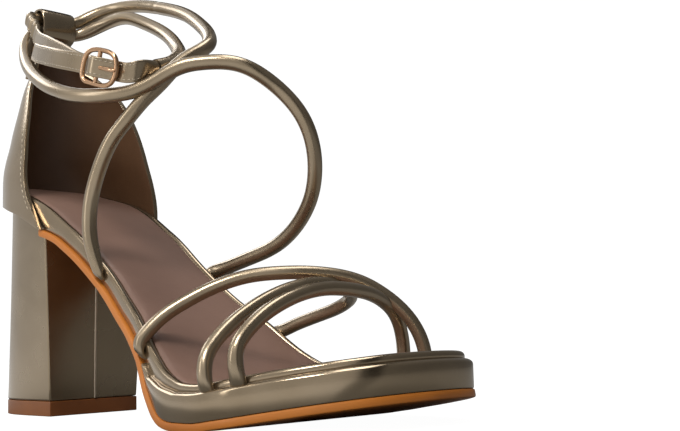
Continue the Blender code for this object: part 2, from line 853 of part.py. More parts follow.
def build_keeper():
    centre = keeper_centre()
    half = KEEPER_THICKNESS / 2
    deep = KEEPER_DEPTH / 2 - half
    high = KEEPER_HEIGHT / 2 - half
    rows = []
    crest = counter_crest()
    for below in (KEEPER_TAIL, 0.5 * KEEPER_TAIL, 0.0):
        base = rim_bottom(0.0)
        up = 1 - below / (crest - base)
        back = smooth(COUNTER, up, 5) * SOLE_LENGTH
        rows.append((-(back - CLEARANCE - half), crest - below))
    loop = ((-1.0, -0.55), (-1.0, 0.2), (-0.75, 0.75), (0.0, 1.0), (0.75, 0.75), (1.0, 0.1), (0.8, -0.7), (0.1, -1.0))
    for forward, up in loop:
        rows.append((centre.y - forward * deep, centre.z + up * high))
    flat = [(0.0, y, z, KEEPER_WIDTH / 2, half, FLAT) for y, z in rows]
    obj = sweep("keeper", curve_rows(flat, 0.003), (1, 0, 0), sides=8)
    champagne(obj)
    return obj


# Buckle: its own frame runs from the left bar forward (u), outwards (v) and up its width (w)
BUCKLE_PLACE = (-0.778, 0.396, 0.972)
BUCKLE_AIM = (-0.699, 0.486, 1.080)
BUCKLE_CENTRE_BAR = 0.45


def buckle_axes():
    start = over(*BUCKLE_PLACE)
    u = (over(*BUCKLE_AIM) - start).normalized()
    v = square_to(Vector((-1, 0, 0)), u)
    return start, u, v, u.cross(v)


def at_buckle(u_place, v_place, w_place=0.0):
    start, u, v, w = buckle_axes()
    return start + u * u_place + v * v_place + w * w_place


def wire(name, points, diameter, cyclic):
    curve = bpy.data.curves.new(name, "CURVE")
    curve.dimensions = "3D"
    curve.bevel_depth = diameter / 2
    curve.bevel_resolution = 2
    curve.use_fill_caps = not cyclic
    spline = curve.splines.new("POLY")
    spline.points.add(len(points) - 1)
    for slot, point in zip(spline.points, points):
        slot.co = (*point, 1.0)
    spline.use_cyclic_u = cyclic
    obj = bpy.data.objects.new(name, curve)
    model.objects.link(obj)
    return obj


def meshed(obj):
    """The curve object made a mesh of the same name, with its caps welded."""
    bpy.context.view_layer.update()
    mesh = bpy.data.meshes.new_from_object(obj.evaluated_get(bpy.context.evaluated_depsgraph_get()))
    shape = bmesh.new()
    shape.from_mesh(mesh)
    bmesh.ops.remove_doubles(shape, verts=shape.verts, dist=1e-6)
    shape.to_mesh(mesh)
    shape.free()
    name, place = obj.name, obj.matrix_world.copy()
    bpy.data.objects.remove(obj, do_unlink=True)
    made = bpy.data.objects.new(name, mesh)
    made.matrix_world = place
    model.objects.link(made)
    return made


def build_buckle():
    long = BUCKLE_LENGTH - BUCKLE_WIRE
    half = (BUCKLE_WIDTH - BUCKLE_WIRE) / 2
    corner = 0.0030
    outline = []
    for u, w, start in ((corner, half - corner, 90), (corner, corner - half, 180), (long - corner, corner - half, 270),
                        (long - corner, half - corner, 0)):
        for step in range(4):
            angle = radians(start + 30 * step)
            outline.append(at_buckle(u + corner * cos(angle), 0.0, w + corner * sin(angle)))
    frame = meshed(wire("buckle_frame", outline, BUCKLE_WIRE, True))
    bar_place = BUCKLE_CENTRE_BAR * long
    ends = [at_buckle(bar_place, 0.0, w) for w in (-half, half)]
    bar = meshed(wire("centre_bar", ends, 0.95 * BUCKLE_WIRE, False))
    combined(frame, [bar], "UNION")
    finish(frame, (0.62, 0.36, 0.22), 1.0, 0.2)

    turn_radius = (BUCKLE_WIRE + PRONG_WIRE) / 2 + CLEARANCE
    prong = []
    for angle in range(290, 80, -30):
        u = bar_place + turn_radius * cos(radians(angle))
        prong.append(at_buckle(u, turn_radius * sin(radians(angle))))
    prong.append(at_buckle(bar_place + 0.0004, turn_radius))
    prong.append(at_buckle(0.5 * (bar_place + long), turn_radius))
    prong.append(at_buckle(long, turn_radius))
    prong.append(at_buckle(long + 0.0012, turn_radius - 0.0002))
    tongue = wire("buckle_prong", prong, PRONG_WIRE, False)
    finish(tongue, (0.62, 0.36, 0.22), 1.0, 0.2)


def flat_row(place, widen=1.0):
    """Row of a flattened strap; widen 0 is the round cord that it grows out of."""
    cord = KEPT_CORD_DIAMETER / 2
    half_width = cord + widen * (FLAT_STRAP_WIDTH / 2 - cord)
    half_thickness = cord + widen * (FLAT_STRAP_THICKNESS / 2 - cord)
    return (*place, half_width, half_thickness, ROUND + widen * (FLAT - ROUND))


def build_billet():
    """Strap end that goes under both side bars and over the centre bar, with its tip behind."""
    long = BUCKLE_LENGTH - BUCKLE_WIRE
    bar = BUCKLE_CENTRE_BAR * long
    under = (BUCKLE_WIRE + FLAT_STRAP_THICKNESS) / 2 + CLEARANCE
    crown = under + FLAT_STRAP_THICKNESS + 1.4 * CLEARANCE
    rows = [
        flat_row(over(-0.376, 0.4935, 1.146), 0.0),
        flat_row(over(-0.450, 0.496, 1.137), 0.5),
        flat_row(over(-0.545, 0.498, 1.122), 1.0),
    ]
    route = (
        (long + 0.0040, -under - 0.0006),
        (long + 0.0008, -under - 0.0003),
        (long - 0.0012, -under - 0.0001),
        (long - 0.0028, -0.95 * under),
        (bar + 0.0056, -0.62 * under),
        (bar + 0.0046, -0.10 * under),
        (bar + 0.0038, 0.24 * crown),
        (bar + 0.0030, 0.55 * crown),
        (bar + 0.0016, 0.88 * crown),
        (bar, crown),
        (bar - 0.0016, 0.88 * crown),
        (bar - 0.0029, 0.55 * crown),
        (0.0032, -0.35 * under),
        (0.0017, -0.85 * under),
        (0.0, -under - 0.0002),
        (-0.0045, -under - 0.0003),
    )
    rows += [flat_row(at_buckle(u, v)) for u, v in route]
    tail = ((-0.747, 0.303, 0.859), (-0.687, 0.244, 0.812), (-0.614, 0.196, 0.789), (-0.565, 0.170, 0.790))
    rows += [flat_row(over(*place)) for place in tail]
    up = buckle_axes()[3]
    billet = sweep("billet", curve_rows(rows, 0.005), up, sides=8)
    turn_radius = (BUCKLE_WIRE + PRONG_WIRE) / 2 + CLEARANCE
    ends = [at_buckle(bar + 0.0010, turn_radius), at_buckle(long - 0.0012, turn_radius)]
    hole = meshed(wire("prong_hole", ends, PRONG_WIRE + 0.0009, False))
    combined(billet, [hole], "DIFFERENCE")
    champagne(billet)


def build_buckle_strap():
    """Strap from the keeper that holds the buckle, folded round its centre bar."""
    long = BUCKLE_LENGTH - BUCKLE_WIRE
    bar = BUCKLE_CENTRE_BAR * long
    under = (BUCKLE_WIRE + FLAT_STRAP_THICKNESS) / 2 + CLEARANCE
    below = under + FLAT_STRAP_THICKNESS + 2.5 * CLEARANCE
    rows = []
    for across, widen in ((-0.78, 0.0), (-0.95, 0.0), (-1.10, 0.0), (-1.28, 0.15)):
        place = Vector((across * KEEPER_WIDTH / 2, 0, KEPT_CORD_DIAMETER / 2 + CLEARANCE))
        rows.append(flat_row(keeper_centre() + place, widen))
    rows.append(flat_row(over(-0.372, 0.112, 0.925), 0.7))
    for place in ((-0.470, 0.153, 0.862), (-0.590, 0.222, 0.857), (-0.655, 0.290, 0.885)):
        rows.append(flat_row(over(*place)))
    for u, v in ((-0.0045, -below - 0.0002), (0.0, -below - 0.0001), (bar - 0.0040, -0.85 * below), (bar - 0.0016, -under)):
        rows.append(flat_row(at_buckle(u, v)))
    for angle in (-90, -55, -20, 15, 50, 85, 120, 150):
        u = bar + under * cos(radians(angle))
        rows.append(flat_row(at_buckle(u, under * sin(radians(angle)))))
    up = buckle_axes()[3]
    strap = sweep("buckle_strap", curve_rows(rows, 0.005), up, sides=8)
    bpy.ops.mesh.primitive_cube_add(size=1.0)
    notch = bpy.context.object
    start, u, v, w = buckle_axes()
    turned = Matrix((u, v, w)).transposed().to_4x4()
    size = Matrix.Diagonal((6.2 * MM, 6.4 * MM, PRONG_WIRE + 2.4 * CLEARANCE, 1.0))
    notch.matrix_world = Matrix.Translation(at_buckle(bar - 0.0001, 0.0003)) @ turned @ size
    combined(strap, [notch], "DIFFERENCE")
    champagne(strap)


def cut_pockets(footbed, platform):
    roots = [root for _, first, last in VAMP_STRAPS for root in (first, last)]
    roots += [INNER_WAIST_ROOT, OUTER_WAIST_ROOT]
    for body, wanted in ((footbed, True), (platform, False)):
        tools = []
        for number, root in enumerate(roots):
            if root[2] == wanted:
                tools.append(pocket(f"pocket_{number}", *root))
        combined(body, tools, "DIFFERENCE")


def main():
    for obj in list(bpy.data.objects):
        bpy.data.objects.remove(obj, do_unlink=True)
    bpy.context.scene.collection.children.link(model)
    build_insock()
    cut_pockets(build_footbed(), build_platform())
    build_outsole()
    build_heel()
    build_counter()
    build_keeper()
    build_vamp_straps()
    build_ankle_cords()
    build_buckle()
    build_billet()
    build_buckle_strap()


model = bpy.data.collections.new("strappy_heeled_sandal")
main()
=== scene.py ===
"""Strappy heeled sandal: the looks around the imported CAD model."""

from bisect import bisect_right
from math import acos, ceil, cos, exp, pi, radians, sin

import bpy
from mathutils import Matrix, Vector


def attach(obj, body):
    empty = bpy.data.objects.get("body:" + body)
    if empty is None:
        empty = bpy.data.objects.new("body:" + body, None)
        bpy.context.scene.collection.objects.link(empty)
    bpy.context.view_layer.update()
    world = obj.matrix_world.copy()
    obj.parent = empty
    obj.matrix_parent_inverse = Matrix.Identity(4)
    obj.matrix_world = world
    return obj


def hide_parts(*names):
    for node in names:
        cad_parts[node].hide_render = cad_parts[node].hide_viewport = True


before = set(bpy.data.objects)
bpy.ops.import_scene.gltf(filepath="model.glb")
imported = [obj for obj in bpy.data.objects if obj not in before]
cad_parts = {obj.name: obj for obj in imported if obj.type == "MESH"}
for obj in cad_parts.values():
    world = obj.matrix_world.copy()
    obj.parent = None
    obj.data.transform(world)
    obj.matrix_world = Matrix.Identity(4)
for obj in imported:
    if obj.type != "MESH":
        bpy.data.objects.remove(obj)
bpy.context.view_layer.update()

# The camera stands low in front of the outer side, as in the photograph, and
# looks slightly up at the straps. Its height keeps it just above the floor.
CAMERA_PLACE = (-0.2627, -0.4323, 0.0277)
CAMERA_HEADING = radians(-46.48)
CAMERA_TILT = radians(96.18)
CAMERA_ROLL = radians(-1.54)
CAMERA_LENS = 59.54

bpy.ops.object.camera_add(location=CAMERA_PLACE)
camera = bpy.context.object
camera_turn = Matrix.Rotation(CAMERA_HEADING, 4, "Z") @ Matrix.Rotation(CAMERA_TILT, 4, "X")
camera.matrix_world = (
    Matrix.Translation(CAMERA_PLACE) @ camera_turn @ Matrix.Rotation(CAMERA_ROLL, 4, "Z")
)
camera.data.sensor_width = 36.0
camera.data.lens = CAMERA_LENS
camera.data.clip_start = 0.01
bpy.context.scene.camera = camera
bpy.context.scene.view_settings.view_transform = "Standard"


# The floor is a seamless sheet of paper. The camera sees it evenly white, with a
# faint shadow round the soles. To every other ray it glows with painted light that the
# patent mirrors: painted shade in a dark pool close to the shoe and in a dark band where
# a studio flag would stand. It is the stage and isn't part of the shoe.
FLOOR_SIZE = 16.0
PAPER_SEEN = 0.98
# The painted dark pool in the floor's glow round the shoe: its middle, how its width counts, and where
# it ends
POOL_MIDDLE = (0.0, -0.10, 0.0)
POOL_SCALE = (1.9, 1.0, 1.0)
POOL_EDGE = {"From_Min": 0.135, "From_Max": 0.185, "To_Min": 0.02, "To_Max": 0.60}
TOE_CENTRE = (-0.03, -0.20, 0.0)
# The dark band by its direction from the toe, painted into the floor's glow and set in the room's light,
# and the studio's tones from one side to the other
DARK_BAND_SIDE = (0.870, -0.493, 0.0)
DARK_BAND_TONES = ((0.0, 1.0), (0.18, 1.0), (0.22, 0.01), (0.48, 0.01), (0.60, 0.28), (1.0, 0.20))


def node(tree, kind, **values):
    """New node in a tree, with its settings and the values of its unlinked sockets."""
    made = tree.nodes.new(kind)
    for key, value in values.items():
        if hasattr(made, key):
            setattr(made, key, value)
        else:
            made.inputs[key.replace("_", " ")].default_value = value
    return made


def fed(tree, kind, source, socket=0, **values):
    """New node with one of its inputs linked to a source."""
    made = node(tree, kind, **values)
    tree.links.new(source, made.inputs[socket])
    return made


def finish_named(name, base, metallic, roughness, **sockets):
    """New material with its Principled BSDF's own sockets set; returns it, its tree and shader."""
    material = bpy.data.materials.new(name)
    material.use_nodes = True
    shader = material.node_tree.nodes["Principled BSDF"]
    shader.inputs["Base Color"].default_value = (*base, 1.0)
    shader.inputs["Metallic"].default_value = metallic
    shader.inputs["Roughness"].default_value = roughness
    for key, value in sockets.items():
        shader.inputs[key.replace("_", " ")].default_value = value
    return material, material.node_tree, shader


def grey_ramp(tree, source, tones, tint=(1.0, 1.0, 1.0)):
    """Colour ramp of greys, each a place and a tone, with one tint over all."""
    ramp = fed(tree, "ShaderNodeValToRGB", source)
    stops = ramp.color_ramp.elements
    for place, tone in tones:
        stop = stops.new(place) if 0.0 < place < 1.0 else stops[-int(place)]
        stop.color = (*(share * tone for share in tint), 1.0)
    return ramp


def dark_band_by_direction(tree, way):
    """Dark band and dimmer side, by the direction seen from the toe: painted shade in the floor's glow,
    and less light in the room's.
    """
    side = fed(tree, "ShaderNodeVectorMath", way, operation="DOT_PRODUCT")
    side.inputs[1].default_value = DARK_BAND_SIDE
    turned = fed(tree, "ShaderNodeMapRange", side.outputs["Value"], From_Min=-0.2, From_Max=0.8)
    return grey_ramp(tree, turned.outputs["Result"], DARK_BAND_TONES).outputs["Color"]


bpy.ops.object.select_all(action="DESELECT")
bpy.ops.mesh.primitive_plane_add(size=FLOOR_SIZE, location=(0.0, 0.0, 0.0))
floor = bpy.context.object
floor.name = "floor"
# The paper's own colour is dark grey; a glow that the camera sees as even white makes it read white, so
# only a faint shadow shows.
floor_paper_painted_glow, paper_tree, paper_shader = finish_named(
    "floor_paper_painted_glow", (0.14, 0.14, 0.135), 0.0, 0.8, Emission_Color=(1.0, 1.0, 1.0, 1.0)
)
paper_place = node(paper_tree, "ShaderNodeTexCoord").outputs["Object"]
paper_near = fed(paper_tree, "ShaderNodeMapping", paper_place, vector_type="POINT")
paper_near.inputs["Scale"].default_value = POOL_SCALE
paper_away = fed(paper_tree, "ShaderNodeVectorMath", paper_near.outputs["Vector"], operation="DISTANCE")
paper_away.inputs[1].default_value = POOL_MIDDLE
paper_front = fed(paper_tree, "ShaderNodeMapRange", paper_away.outputs["Value"], **POOL_EDGE)
paper_from = fed(paper_tree, "ShaderNodeVectorMath", paper_place, operation="SUBTRACT")
paper_from.inputs[1].default_value = TOE_CENTRE
paper_way = fed(paper_tree, "ShaderNodeVectorMath", paper_from.outputs["Vector"], operation="NORMALIZE")
# Painted light: to every ray but the camera's the floor glows, darker in the pool round the shoe and in
# the dark band, as painted shade that the patent mirrors.
painted_shade_pool = fed(paper_tree, "ShaderNodeMath", paper_front.outputs["Result"], operation="MULTIPLY")
paper_tree.links.new(dark_band_by_direction(paper_tree, paper_way.outputs["Vector"]), painted_shade_pool.inputs[1])
paper_seen = node(paper_tree, "ShaderNodeLightPath").outputs["Is Camera Ray"]
painted_floor_glow = fed(paper_tree, "ShaderNodeMix", paper_seen, data_type="FLOAT")
painted_floor_glow.inputs[3].default_value = PAPER_SEEN
paper_tree.links.new(painted_shade_pool.outputs["Value"], painted_floor_glow.inputs[2])
paper_tree.links.new(painted_floor_glow.outputs[0], paper_shader.inputs["Emission Strength"])
floor.data.materials.append(floor_paper_painted_glow)

# The room is a white cove whose light is dimmer below and in the same dark band, which the
# metallic finish mirrors as soft bands. The camera itself sees it as plain white.
ROOM_TONES = ((0.0, 0.60), (0.35, 0.60), (0.50, 0.95), (0.68, 0.95), (1.0, 1.00))
ROOM_TINT = (1.0, 0.985, 0.96)
ROOM_SEEN = (1.7, 1.7, 1.7, 1.0)
ROOM_STRENGTH = 0.62
room = bpy.data.worlds.new("studio")
room.use_nodes = True
room_tree = room.node_tree
room_back = room_tree.nodes["Background"]
room_way = node(room_tree, "ShaderNodeTexCoord").outputs["Generated"]
room_split = fed(room_tree, "ShaderNodeSeparateXYZ", room_way)
room_height = fed(room_tree, "ShaderNodeMapRange", room_split.outputs["Z"], From_Min=-1.0, From_Max=1.0)
room_rise = grey_ramp(room_tree, room_height.outputs["Result"], ROOM_TONES, ROOM_TINT)
room_rise.color_ramp.interpolation = "EASE"
room_shade = fed(room_tree, "ShaderNodeVectorMath", room_rise.outputs["Color"], operation="SCALE")
room_tree.links.new(dark_band_by_direction(room_tree, room_way), room_shade.inputs["Scale"])
room_seen = node(room_tree, "ShaderNodeLightPath").outputs["Is Camera Ray"]
room_mix = fed(room_tree, "ShaderNodeMix", room_seen, data_type="RGBA")
room_mix.inputs[7].default_value = ROOM_SEEN
room_tree.links.new(room_shade.outputs["Vector"], room_mix.inputs[6])
room_tree.links.new(room_mix.outputs[2], room_back.inputs["Color"])
room_back.inputs["Strength"].default_value = ROOM_STRENGTH
bpy.context.scene.world = room

# Four softboxes light the shoe: a key over its outer side, one overhead, and one
# each behind and beside the heel. Each has its place, its aim, its size and its power.
for name, place, aim, size, power in (
    ("key_softbox", (-0.75, -0.35, 1.05), (0.0, -0.10, 0.06), (0.42, 0.30), 8.0),
    ("top_softbox", (0.10, -0.20, 1.2), (0.0, -0.10, 0.06), (0.9, 0.32), 4.5),
    ("back_softbox", (0.05, 1.0, 0.85), (0.0, -0.12, 0.06), (1.1, 0.35), 4.0),
    ("side_softbox", (-1.1, 0.35, 0.55), (0.0, -0.08, 0.06), (0.25, 0.9), 2.5),
):
    bpy.ops.object.light_add(type="AREA", location=place)
    lamp = bpy.context.object
    lamp.name = name
    lamp.data.shape = "RECTANGLE"
    lamp.data.size, lamp.data.size_y = size
    lamp.data.energy = power
    lamp.rotation_euler = (Vector(aim) - Vector(place)).to_track_quat("-Z", "Y").to_euler()

# Footbed: a shank board wrapped in champagne metallic patent. Its edge is a
# padded rim that stands round the recess for the insock, glued under the lip.
OUTER, INNER = -1, 1
SOLE_LENGTH = 0.215
BALL_HALF = 0.0415
HEEL_SEAT_HEIGHT = 0.095
TREAD_HEIGHT = 0.0146
TOE_SPRING = 0.0083
OUTSOLE_THICKNESS = 0.0027
RIM_THICKNESS = 0.0026
SEAT_RIM_THICKNESS = 0.0070
RIM_WIDTH = 0.0027
CLEARANCE = 0.0003
# The rim's round bead, its half width and height as shares of the rim's width
BEAD_WIDTH = 0.55
BEAD_HEIGHT = 0.52
# Lower edge of a wrapped piece: its rounding, and its loops' inset and rise as shares of it
EDGE_ROUND = 0.0005
EDGE_LOOPS = ((0.0, 1.0), (0.3, 0.3), (1.0, 0.0))
# A layer that is at least this wide sags in full
SAG_WIDTH = 0.03
# Half widths of the footbed beside its long axis, as shares of half the ball width
OUTLINE = (
    (0.000, 0.000, 0.000),
    (0.019, 0.313, 0.301),
    (0.056, 0.494, 0.482),
    (0.116, 0.590, 0.590),
    (0.209, 0.627, 0.627),
    (0.302, 0.627, 0.602),
    (0.395, 0.614, 0.578),
    (0.488, 0.700, 0.614),
    (0.581, 0.848, 0.735),
    (0.674, 0.973, 0.887),
    (0.744, 1.012, 0.975),
    (0.800, 0.988, 1.000),
    (0.847, 0.906, 0.995),
    (0.907, 0.735, 0.928),
    (0.953, 0.511, 0.790),
    (0.986, 0.236, 0.590),
    (1.000, -0.193, 0.193),
)
# Rise of the rim over the tread, and its toe spring
PROFILE = (
    (0.000, 1.000, 0.00),
    (0.056, 0.978, 0.00),
    (0.116, 0.938, 0.00),
    (0.177, 0.892, 0.00),
    (0.233, 0.826, 0.00),
    (0.279, 0.754, 0.00),
    (0.326, 0.677, 0.00),
    (0.400, 0.526, 0.00),
    (0.442, 0.440, 0.00),
    (0.488, 0.352, 0.00),
    (0.521, 0.295, 0.00),
    (0.553, 0.233, 0.00),
    (0.586, 0.161, 0.00),
    (0.614, 0.104, 0.00),
    (0.651, 0.047, 0.00),
    (0.679, 0.020, 0.00),
    (0.702, 0.004, 0.00),
    (0.736, 0.000, 0.00),
    (0.791, 0.000, 0.16),
    (0.837, 0.000, 0.34),
    (0.884, 0.000, 0.53),
    (0.930, 0.000, 0.72),
    (1.000, 0.000, 1.00),
)
# How the footbed's edge thickens from the forefoot to the seat
RIM_EDGE = (
    (0.00, 1.25),
    (0.12, 1.35),
    (0.21, 1.65),
    (0.24, 1.40),
    (0.28, 1.05),
    (0.50, 0.95),
    (0.56, 1.02),
    (0.60, 1.10),
    (0.63, 0.68),
    (0.66, 0.36),
    (0.70, 0.10),
    (0.74, 0.00),
    (1.00, 0.00),
)


def smooth(table, key, column):
    """Value of a table's column at key, on a cubic that never overshoots its rows."""
    rows = [(row[0], row[column]) for row in table]
    key = min(max(key, rows[0][0]), rows[-1][0])
    place = min(bisect_right([row[0] for row in rows], key), len(rows) - 1)
    steps = [(b[1] - a[1]) / (b[0] - a[0]) for a, b in zip(rows, rows[1:])]

    def slope(index):
        if index == 0 or index == len(rows) - 1:
            return steps[min(index, len(steps) - 1)]
        before, after = steps[index - 1], steps[index]
        return 0.0 if before * after <= 0 else 2 * before * after / (before + after)

    (x0, y0), (x1, y1) = rows[place - 1], rows[place]
    width = x1 - x0
    t = (key - x0) / width
    return (
        y0 * (1 + 2 * t) * (1 - t) ** 2
        + y1 * t * t * (3 - 2 * t)
        + slope(place - 1) * width * t * (1 - t) ** 2
        - slope(place) * width * t * t * (1 - t)
    )


def turn(station):
    return acos(1 - 2 * min(max(station, 0.0), 1.0)) / pi


def station_at(turned_share):
    return (1 - cos(pi * turned_share)) / 2


TURNED_OUTLINE = tuple((turn(row[0]), row[1], row[2]) for row in OUTLINE)


def rim_top(station):
    rise = smooth(PROFILE, station, 1) * (HEEL_SEAT_HEIGHT - TREAD_HEIGHT)
    return TREAD_HEIGHT + rise + smooth(PROFILE, station, 2) * TOE_SPRING


def rim_bottom(station):
    extra = smooth(RIM_EDGE, station, 1) * (SEAT_RIM_THICKNESS - RIM_THICKNESS)
    return rim_top(station) - RIM_THICKNESS - extra


def edge_point(side, share):
    column = 1 if side == OUTER else 2
    across = side * smooth(TURNED_OUTLINE, share, column) * BALL_HALF
    return Vector((across, -station_at(share) * SOLE_LENGTH))


def edge(side, station, offset=0.0):
    """Point on the footbed's outline in plan, moved out by offset."""
    share = turn(station)
    step = 0.004
    along = edge_point(side, min(share + step, 1.0)) - edge_point(side, max(share - step, 0.0))
    if share <= step:
        along = Vector((side, 0.0))
    if share >= 1 - step:
        along = Vector((-side, 0.0))
    return edge_point(side, share) + Vector((-along.y, along.x)).normalized() * side * offset


def reworked(*steps):
    """Run edit-mode operators, each on the whole of the active piece."""
    bpy.ops.object.mode_set(mode="EDIT")
    for operator, values in steps:
        bpy.ops.mesh.select_all(action="SELECT")
        operator(**values)
    bpy.ops.object.mode_set(mode="OBJECT")


def shaped_grid(name, columns, rows, place, sharp=40):
    """Grid of faces whose corners are moved to place(column, row), closed where they meet."""
    bpy.ops.object.select_all(action="DESELECT")
    bpy.ops.mesh.primitive_grid_add(x_subdivisions=columns, y_subdivisions=rows, size=1.0)
    piece = bpy.context.object
    piece.name = name
    for corner in piece.data.vertices:
        column = round((corner.co.x + 0.5) * columns)
        row = round((corner.co.y + 0.5) * rows)
        corner.co = place(column, row)
    reworked(
        (bpy.ops.mesh.remove_doubles, {"threshold": 2e-6}),
        (bpy.ops.mesh.dissolve_degenerate, {"threshold": 2e-6}),
    )
    bpy.ops.object.shade_smooth_by_angle(angle=radians(sharp))
    return piece


def closed_up(piece, sharp=40):
    """Fill the open ends of a piece and turn its faces outwards."""
    reworked(
        (bpy.ops.mesh.fill_holes, {"sides": 0}),
        (bpy.ops.mesh.normals_make_consistent, {"inside": False}),
    )
    bpy.ops.object.shade_smooth_by_angle(angle=radians(sharp))
    return piece


def softened(piece, width, segments=3, angle=50):
    """Round a piece's hard edges."""
    rounding = piece.modifiers.new("soft_edges", "BEVEL")
    rounding.width = width
    rounding.segments = segments
    rounding.limit_method = "ANGLE"
    rounding.angle_limit = radians(angle)
    bpy.ops.object.modifier_apply(modifier=rounding.name)
    bpy.ops.object.shade_smooth_by_angle(angle=radians(40))
    return piece


def sole_layer(name, loops, first, last, rows=120, across=12, sag=0.0):
    """Layer of the sole from its top loop to its bottom one, each an offset and a height."""
    begin, end = turn(first), turn(last)
    sections = []
    for row in range(rows + 1):
        station = station_at(begin + (end - begin) * row / rows)
        sides = []
        for side in (OUTER, INNER):
            points = []
            for offset, height in loops:
                place = edge(side, station, offset(station))
                rise, shift = height(station)
                points.append(Vector((place.x, place.y - shift, rise)))
            sides.append(points)
        outer, inner = sides
        hollow = sag * min(1.0, (inner[0] - outer[0]).length / SAG_WIDTH)
        top = []
        for i in range(1, across):
            point = outer[0].lerp(inner[0], i / across)
            top.append(point - Vector((0.0, 0.0, hollow * sin(pi * i / across) ** 1.5)))
        under = [inner[-1].lerp(outer[-1], i / across) for i in range(1, across)]
        sections.append(outer[::-1] + top + inner + under)
    ring = len(sections[0])
    skin = shaped_grid(name, ring, rows, lambda column, row: sections[row][column % ring])
    return closed_up(skin)


def steady(value):
    return lambda station: value


def under_rim(drop):
    return lambda station: (rim_top(station) - drop, 0.0)


def above_bottom(rise):
    return lambda station: (rim_bottom(station) + rise, 0.0)


def grain_group(name, scale_name, masks):
    """New node group; returns it, its scale input, its Object coordinates and its output node."""
    group = bpy.data.node_groups.new(name, "ShaderNodeTree")
    group.interface.new_socket(name=scale_name, in_out="INPUT", socket_type="NodeSocketFloat")
    for mask in masks:
        group.interface.new_socket(name=mask, in_out="OUTPUT", socket_type="NodeSocketFloat")
    scale = node(group, "NodeGroupInput").outputs[scale_name]
    place = node(group, "ShaderNodeTexCoord").outputs["Object"]
    return group, scale, place, node(group, "NodeGroupOutput")


film_grain, film_scale, film_place, film_out = grain_group(
    "metallic_film_grain", "Grain Scale", ("Cloud", "Grain")
)
film_cloud = fed(film_grain, "ShaderNodeTexNoise", film_place, Scale=42.0, Detail=3.0, Roughness=0.55)
film_fine = fed(film_grain, "ShaderNodeTexNoise", film_place, Detail=2.0, Roughness=0.6)
film_grain.links.new(film_scale, film_fine.inputs["Scale"])
film_grain.links.new(film_cloud.outputs["Fac"], film_out.inputs["Cloud"])
film_grain.links.new(film_fine.outputs["Fac"], film_out.inputs["Grain"])


def clouded(tree, shader, group, light, deep, places):
    """Let a group's cloud turn the base colour from deep to light between two places."""
    tone = fed(tree, "ShaderNodeValToRGB", group.outputs["Cloud"])
    for stop, place, shade in zip(tone.color_ramp.elements, places, (deep, light)):
        stop.position = place
        stop.color = (*shade, 1.0)
    tree.links.new(tone.outputs["Color"], shader.inputs["Base Color"])


def raised(tree, shader, height, bump, depth):
    """Give a shader the relief of a pattern."""
    relief = fed(tree, "ShaderNodeBump", height, "Height", Strength=bump, Distance=depth)
    tree.links.new(relief.outputs["Normal"], shader.inputs["Normal"])


def metallic_patent(name, light, deep, grain_scale, roughness, bump):
    """Champagne film over soft leather: cloudy tone, fine grain and a clear coat."""
    material, tree, shader = finish_named(
        name, light, 0.92, sum(roughness) / 2, Coat_Weight=0.35, Coat_Roughness=0.12
    )
    group = node(tree, "ShaderNodeGroup", node_tree=film_grain, Grain_Scale=grain_scale)
    clouded(tree, shader, group, light, deep, (0.32, 0.62))
    spread = fed(tree, "ShaderNodeMapRange", group.outputs["Cloud"], From_Min=0.3, From_Max=0.7)
    spread.inputs["To Min"].default_value, spread.inputs["To Max"].default_value = roughness
    tree.links.new(spread.outputs["Result"], shader.inputs["Roughness"])
    raised(tree, shader, group.outputs["Grain"], bump, 0.0001)
    return material


champagne = metallic_patent(
    "champagne_patent", light=(0.360, 0.280, 0.188), deep=(0.305, 0.232, 0.148),
    grain_scale=900.0, roughness=(0.14, 0.22), bump=0.06,
)

rim_loops = []
for angle in range(165, -1, -15):
    inset = BEAD_WIDTH * (1 - cos(radians(angle)))
    drop = BEAD_HEIGHT * (1 - sin(radians(angle)))
    rim_loops.append((steady(-inset * RIM_WIDTH), under_rim(drop * RIM_WIDTH)))
for inset, rise in EDGE_LOOPS:
    rim_loops.append((steady(-inset * EDGE_ROUND), above_bottom(rise * EDGE_ROUND)))
footbed = sole_layer("footbed_wrap", rim_loops, 0.0, 1.0)
footbed.data.materials.append(champagne)
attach(footbed, "root")
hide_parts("footbed")

# Insock: a thin padded sock of warm brown synthetic leather with a fine pebble
# grain, cut to the recess of the footbed and glued down, its edge turned soft.
INSOCK_EDGE = 1.15 * RIM_WIDTH + CLEARANCE
# Its turned edge, from the top down: how far in, and how far under the rim's top
INSOCK_TURN = (
    (0.0022, 0.00012),
    (0.0013, 0.00018),
    (0.0006, 0.00036),
    (0.0002, 0.00058),
    (0.0, 0.00085),
    (0.0, 0.00100),
)
pebble, cell_scale, pebble_place, pebble_out = grain_group(
    "pebble_grain", "Pebble Scale", ("Height", "Cloud")
)
pebble_cells = fed(pebble, "ShaderNodeTexVoronoi", pebble_place, feature="SMOOTH_F1", Smoothness=0.6)
pebble_cloud = fed(pebble, "ShaderNodeTexNoise", pebble_place, Scale=28.0, Detail=4.0, Roughness=0.55)
pebble.links.new(cell_scale, pebble_cells.inputs["Scale"])
pebble.links.new(pebble_cells.outputs["Distance"], pebble_out.inputs["Height"])
pebble.links.new(pebble_cloud.outputs["Fac"], pebble_out.inputs["Cloud"])


def grained_sheet(name, light, deep, pebble_scale, roughness, bump):
    """Pebbled or smooth matt sheet with a cloudy tone."""
    material, tree, shader = finish_named(name, light, 0.0, roughness)
    group = node(tree, "ShaderNodeGroup", node_tree=pebble, Pebble_Scale=pebble_scale)
    clouded(tree, shader, group, light, deep, (0.30, 0.66))
    raised(tree, shader, group.outputs["Height"], bump, 0.0003)
    return material


